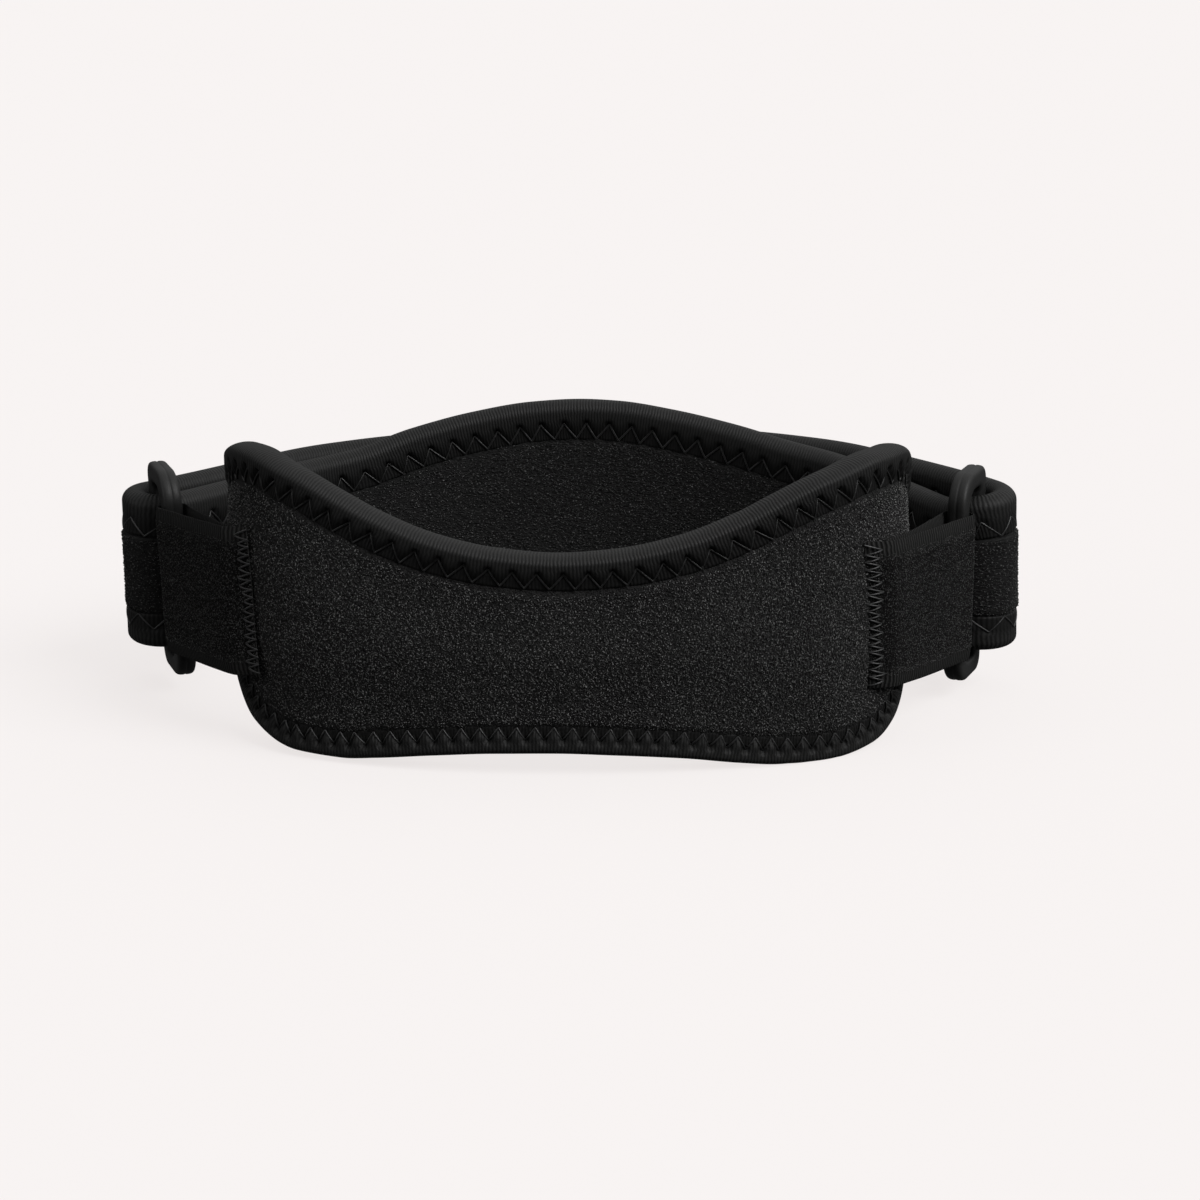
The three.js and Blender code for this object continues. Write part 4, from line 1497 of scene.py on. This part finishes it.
class KNEE_OT_band(bpy.types.Operator):
    """Make the back band and brush its loop pile"""

    bl_idname = "knee.band"
    bl_label = "Back band"

    def execute(self, context):
        pile = settings("pile")
        sizes = settings("band")
        pattern = band_pattern()

        def swell(along, clear):
            """The swelling round the fold, which begins a little under the binding."""
            under = 0.4 * MM
            return sizes.fold_puff * pattern.folded(np.abs(along)) * smooth_step((clear + under) / MM)

        bulges = {"outer": lambda along, clear: 0.0, "inner": swell}
        wall = FoamWall(pattern, step=1.0 * MM, rows=40, bulges=bulges)
        band = add_piece("back_band_foam", wall.mesh("back_band_foam"), band_lining(), ["back_band"])
        arch = arch_mesh("band_loop", rise=0.2, thickness=0.09)
        look = {"spin": 0.9, "lean": 0.4, "material": lining_loops(), "slot": "pile"}
        everywhere = np.full(wall.clear.shape, True)
        bare_from = 45 * MM
        behind_knee = np.abs(wall.along) < bare_from
        for face, wanted in (("inner", everywhere), ("outer", behind_knee)):
            name = f"back_band_pile_{face}"
            carrier = wall.carrier(name, face, wanted)
            add_scattered(name, carrier, arch, pile.band_count, pile.band_loop, **look)
        return {"FINISHED"}


class KNEE_OT_bindings(bpy.types.Operator):
    """Fold the stretch tape over the edges and sew it down in a zigzag"""

    bl_idname = "knee.bindings"
    bl_label = "Edge bindings"

    def execute(self, context):
        for end, pattern, step in (("front", pad_pattern(), 0.5 * MM), ("back", band_pattern(), 0.6 * MM)):
            binding = Binding(pattern, step)
            name = f"{end}_edge_tape"
            add_piece(name, binding.mesh(name), edge_tape(), [f"{end}_binding"])
            name = f"{end}_zigzag"
            add_piece(name, sewn_mesh(name, *binding.stitches(), bow=0.6 * MM), zigzag_thread())
        return {"FINISHED"}


class KNEE_OT_elastics(bpy.types.Operator):
    """Loop the elastics through the rings and sew their ends to the pad"""

    bl_idname = "knee.elastics"
    bl_label = "Elastics"

    def execute(self, context):
        pile = settings("pile")
        arch = arch_mesh("fuzz_loop", rise=0.2, thickness=0.12)
        look = {"spin": math.pi, "lean": 0.8, "material": elastic_fuzz(), "slot": "webbing"}
        for side in SIDES:
            elastic = Elastic(side)
            name = f"elastic_{side}_webbing"
            add_piece(name, elastic.mesh(name), elastic_knit(), [f"elastic_{side}"])
            name = f"elastic_{side}_fuzz"
            add_scattered(name, elastic.fuzz_carrier(name), arch, pile.fuzz_count, pile.fuzz, **look)
            name = f"elastic_{side}_seam"
            add_piece(name, sewn_mesh(name, *elastic.end_seam(), bow=0.7 * MM), zigzag_thread())
        return {"FINISHED"}


class KNEE_OT_rings(bpy.types.Operator):
    """Mould the two rings"""

    bl_idname = "knee.rings"
    bl_label = "Rings"

    def execute(self, context):
        for side in SIDES:
            name = f"ring_{side}_moulding"
            add_piece(name, ring_mesh(name, side), ring_plastic(), [f"ring_{side}"])
        return {"FINISHED"}


class KNEE_OT_hook_patches(bpy.types.Operator):
    """Lay the hook patches under the folded-back ends"""

    bl_idname = "knee.hook_patches"
    bl_label = "Hook patches"

    def execute(self, context):
        pile = settings("pile")
        stem = arch_mesh("hook_stem", rise=0.42, thickness=0.12)
        look = {"spin": 0.5, "lean": 0.3, "material": hook_stems(), "slot": "hook"}
        for side, way in SIDES.items():
            name = f"hook_patch_{side}_tape"
            mesh, carrier = hook_patch(name, way)
            add_piece(name, mesh, hook_tape(), [f"hook_patch_{side}"])
            name = f"hook_patch_{side}_hooks"
            add_scattered(name, carrier, stem, pile.hook_count, pile.hook, **look)
        return {"FINISHED"}


class KNEE_OT_stage(bpy.types.Operator):
    """Lay the floor, hang the lights and set up the camera"""

    bl_idname = "knee.stage"
    bl_label = "Stage"

    def execute(self, context):
        lay_floor()
        hang_lights()
        set_camera()
        context.scene.view_settings.view_transform = "Standard"
        return {"FINISHED"}


def lay_floor():
    """A wide floor that shows to the camera but throws no light back up at the support."""
    half = 9.0
    below = 0.05 * MM
    corners = [(-half, -half, 0), (half, -half, 0), (half, half, 0), (-half, half, 0)]
    mesh = bpy.data.meshes.new("floor")
    mesh.from_pydata(corners, [], [(0, 1, 2, 3)])
    mesh.materials.append(studio_floor())
    floor = bpy.data.objects.new("floor", mesh)
    floor.location.z = -below
    floor.visible_diffuse = False
    floor.visible_glossy = False
    bpy.context.scene.collection.objects.link(floor)


def view_direction(azimuth, elevation):
    """The way from the support towards a camera or a light."""
    level = math.cos(elevation)
    return Vector((math.sin(azimuth) * level, -math.cos(azimuth) * level, math.sin(elevation)))


def hang_lights():
    """A room dark below and bright overhead, seen in the floor's colour, and a key and a fill light."""
    stage = settings("stage")
    world = bpy.data.worlds.new("Soft room")
    world.use_nodes = True
    shader = ShaderTree(world.node_tree)
    way = shader.add("ShaderNodeTexCoord").outputs["Generated"]
    brightest = (math.sin(stage.overhead_lean), 0.0, math.cos(stage.overhead_lean))
    up = shader.add("ShaderNodeVectorMath", {0: way, 1: brightest}, operation="DOT_PRODUCT").outputs["Value"]
    bright = shader.add("ShaderNodeMapRange", {"Value": up, "To Min": stage.room, "To Max": stage.overhead})
    room = shader.add("ShaderNodeBackground", {"Color": (1, 1, 1, 1), "Strength": bright.outputs[0]})
    backdrop = shader.add("ShaderNodeBackground", {"Color": rgba(settings("finish").floor)})
    seen = shader.add("ShaderNodeLightPath").outputs["Is Camera Ray"]
    mixed = shader.add("ShaderNodeMixShader", {0: seen, 1: room.outputs[0], 2: backdrop.outputs[0]})
    world.node_tree.links.new(mixed.outputs[0], world.node_tree.nodes["World Output"].inputs["Surface"])
    bpy.context.scene.world = world
    hang_light("Key", stage.key, stage.key_azimuth, stage.key_elevation)
    hang_light("Fill", stage.fill, stage.fill_azimuth, stage.fill_elevation)


def hang_light(name, strength, azimuth, elevation):
    """A large soft light a long way off."""
    light = bpy.data.lights.new(name, "SUN")
    light.energy = strength
    light.angle = settings("stage").softness
    lamp = bpy.data.objects.new(name, light)
    lamp.rotation_mode = "QUATERNION"
    lamp.rotation_quaternion = (-view_direction(azimuth, elevation)).to_track_quat("-Z", "Y")
    bpy.context.scene.collection.objects.link(lamp)


def set_camera():
    """The camera, aimed a little beside the middle of the support."""
    stage = settings("stage")
    middle = Vector((0.0, -1.4 * MM, 28 * MM))
    sensor_width = 36
    clip_start = 10 * MM
    back = view_direction(stage.azimuth, stage.elevation)
    right = Vector((math.cos(stage.azimuth), math.sin(stage.azimuth), 0))
    up = back.cross(right)
    camera = bpy.data.objects.new("Camera", bpy.data.cameras.new("Camera"))
    camera.data.lens = stage.focal
    camera.data.sensor_width = sensor_width
    camera.data.clip_start = clip_start
    camera.location = middle + back * stage.distance
    aim = middle + right * stage.aim_right - up * stage.aim_down
    camera.rotation_mode = "QUATERNION"
    camera.rotation_quaternion = (aim - camera.location).to_track_quat("-Z", "Y")
    bpy.context.scene.collection.objects.link(camera)
    bpy.context.scene.camera = camera


class KNEE_PT_panel(bpy.types.Panel):
    """The steps that build the knee support, in order"""

    bl_idname = "KNEE_PT_panel"
    bl_label = "Knee Support"
    bl_space_type = "VIEW_3D"
    bl_region_type = "UI"
    bl_category = "Knee Support"

    def draw(self, context):
        for operator in OPERATORS:
            self.layout.operator(operator.bl_idname)


OPERATORS = (
    KNEE_OT_pad,
    KNEE_OT_band,
    KNEE_OT_bindings,
    KNEE_OT_elastics,
    KNEE_OT_rings,
    KNEE_OT_hook_patches,
    KNEE_OT_stage,
)
CLASSES = (*SETTINGS.values(), *OPERATORS, KNEE_PT_panel)


def register():
    for item in CLASSES:
        bpy.utils.register_class(item)
    for name, group in SETTINGS.items():
        setattr(bpy.types.Scene, name, PointerProperty(type=group))


def unregister():
    for name in SETTINGS:
        delattr(bpy.types.Scene, name)
    for item in reversed(CLASSES):
        bpy.utils.unregister_class(item)


def main():
    """Builds everything in order and writes the boxes of the solids and of the dressed support."""
    register()
    bpy.ops.knee.pad()
    bpy.ops.knee.band()
    bpy.ops.knee.bindings()
    bpy.ops.knee.elastics()
    bpy.ops.knee.rings()
    bpy.ops.knee.hook_patches()
    bpy.ops.knee.stage()


if __name__ == "__main__":
    main()
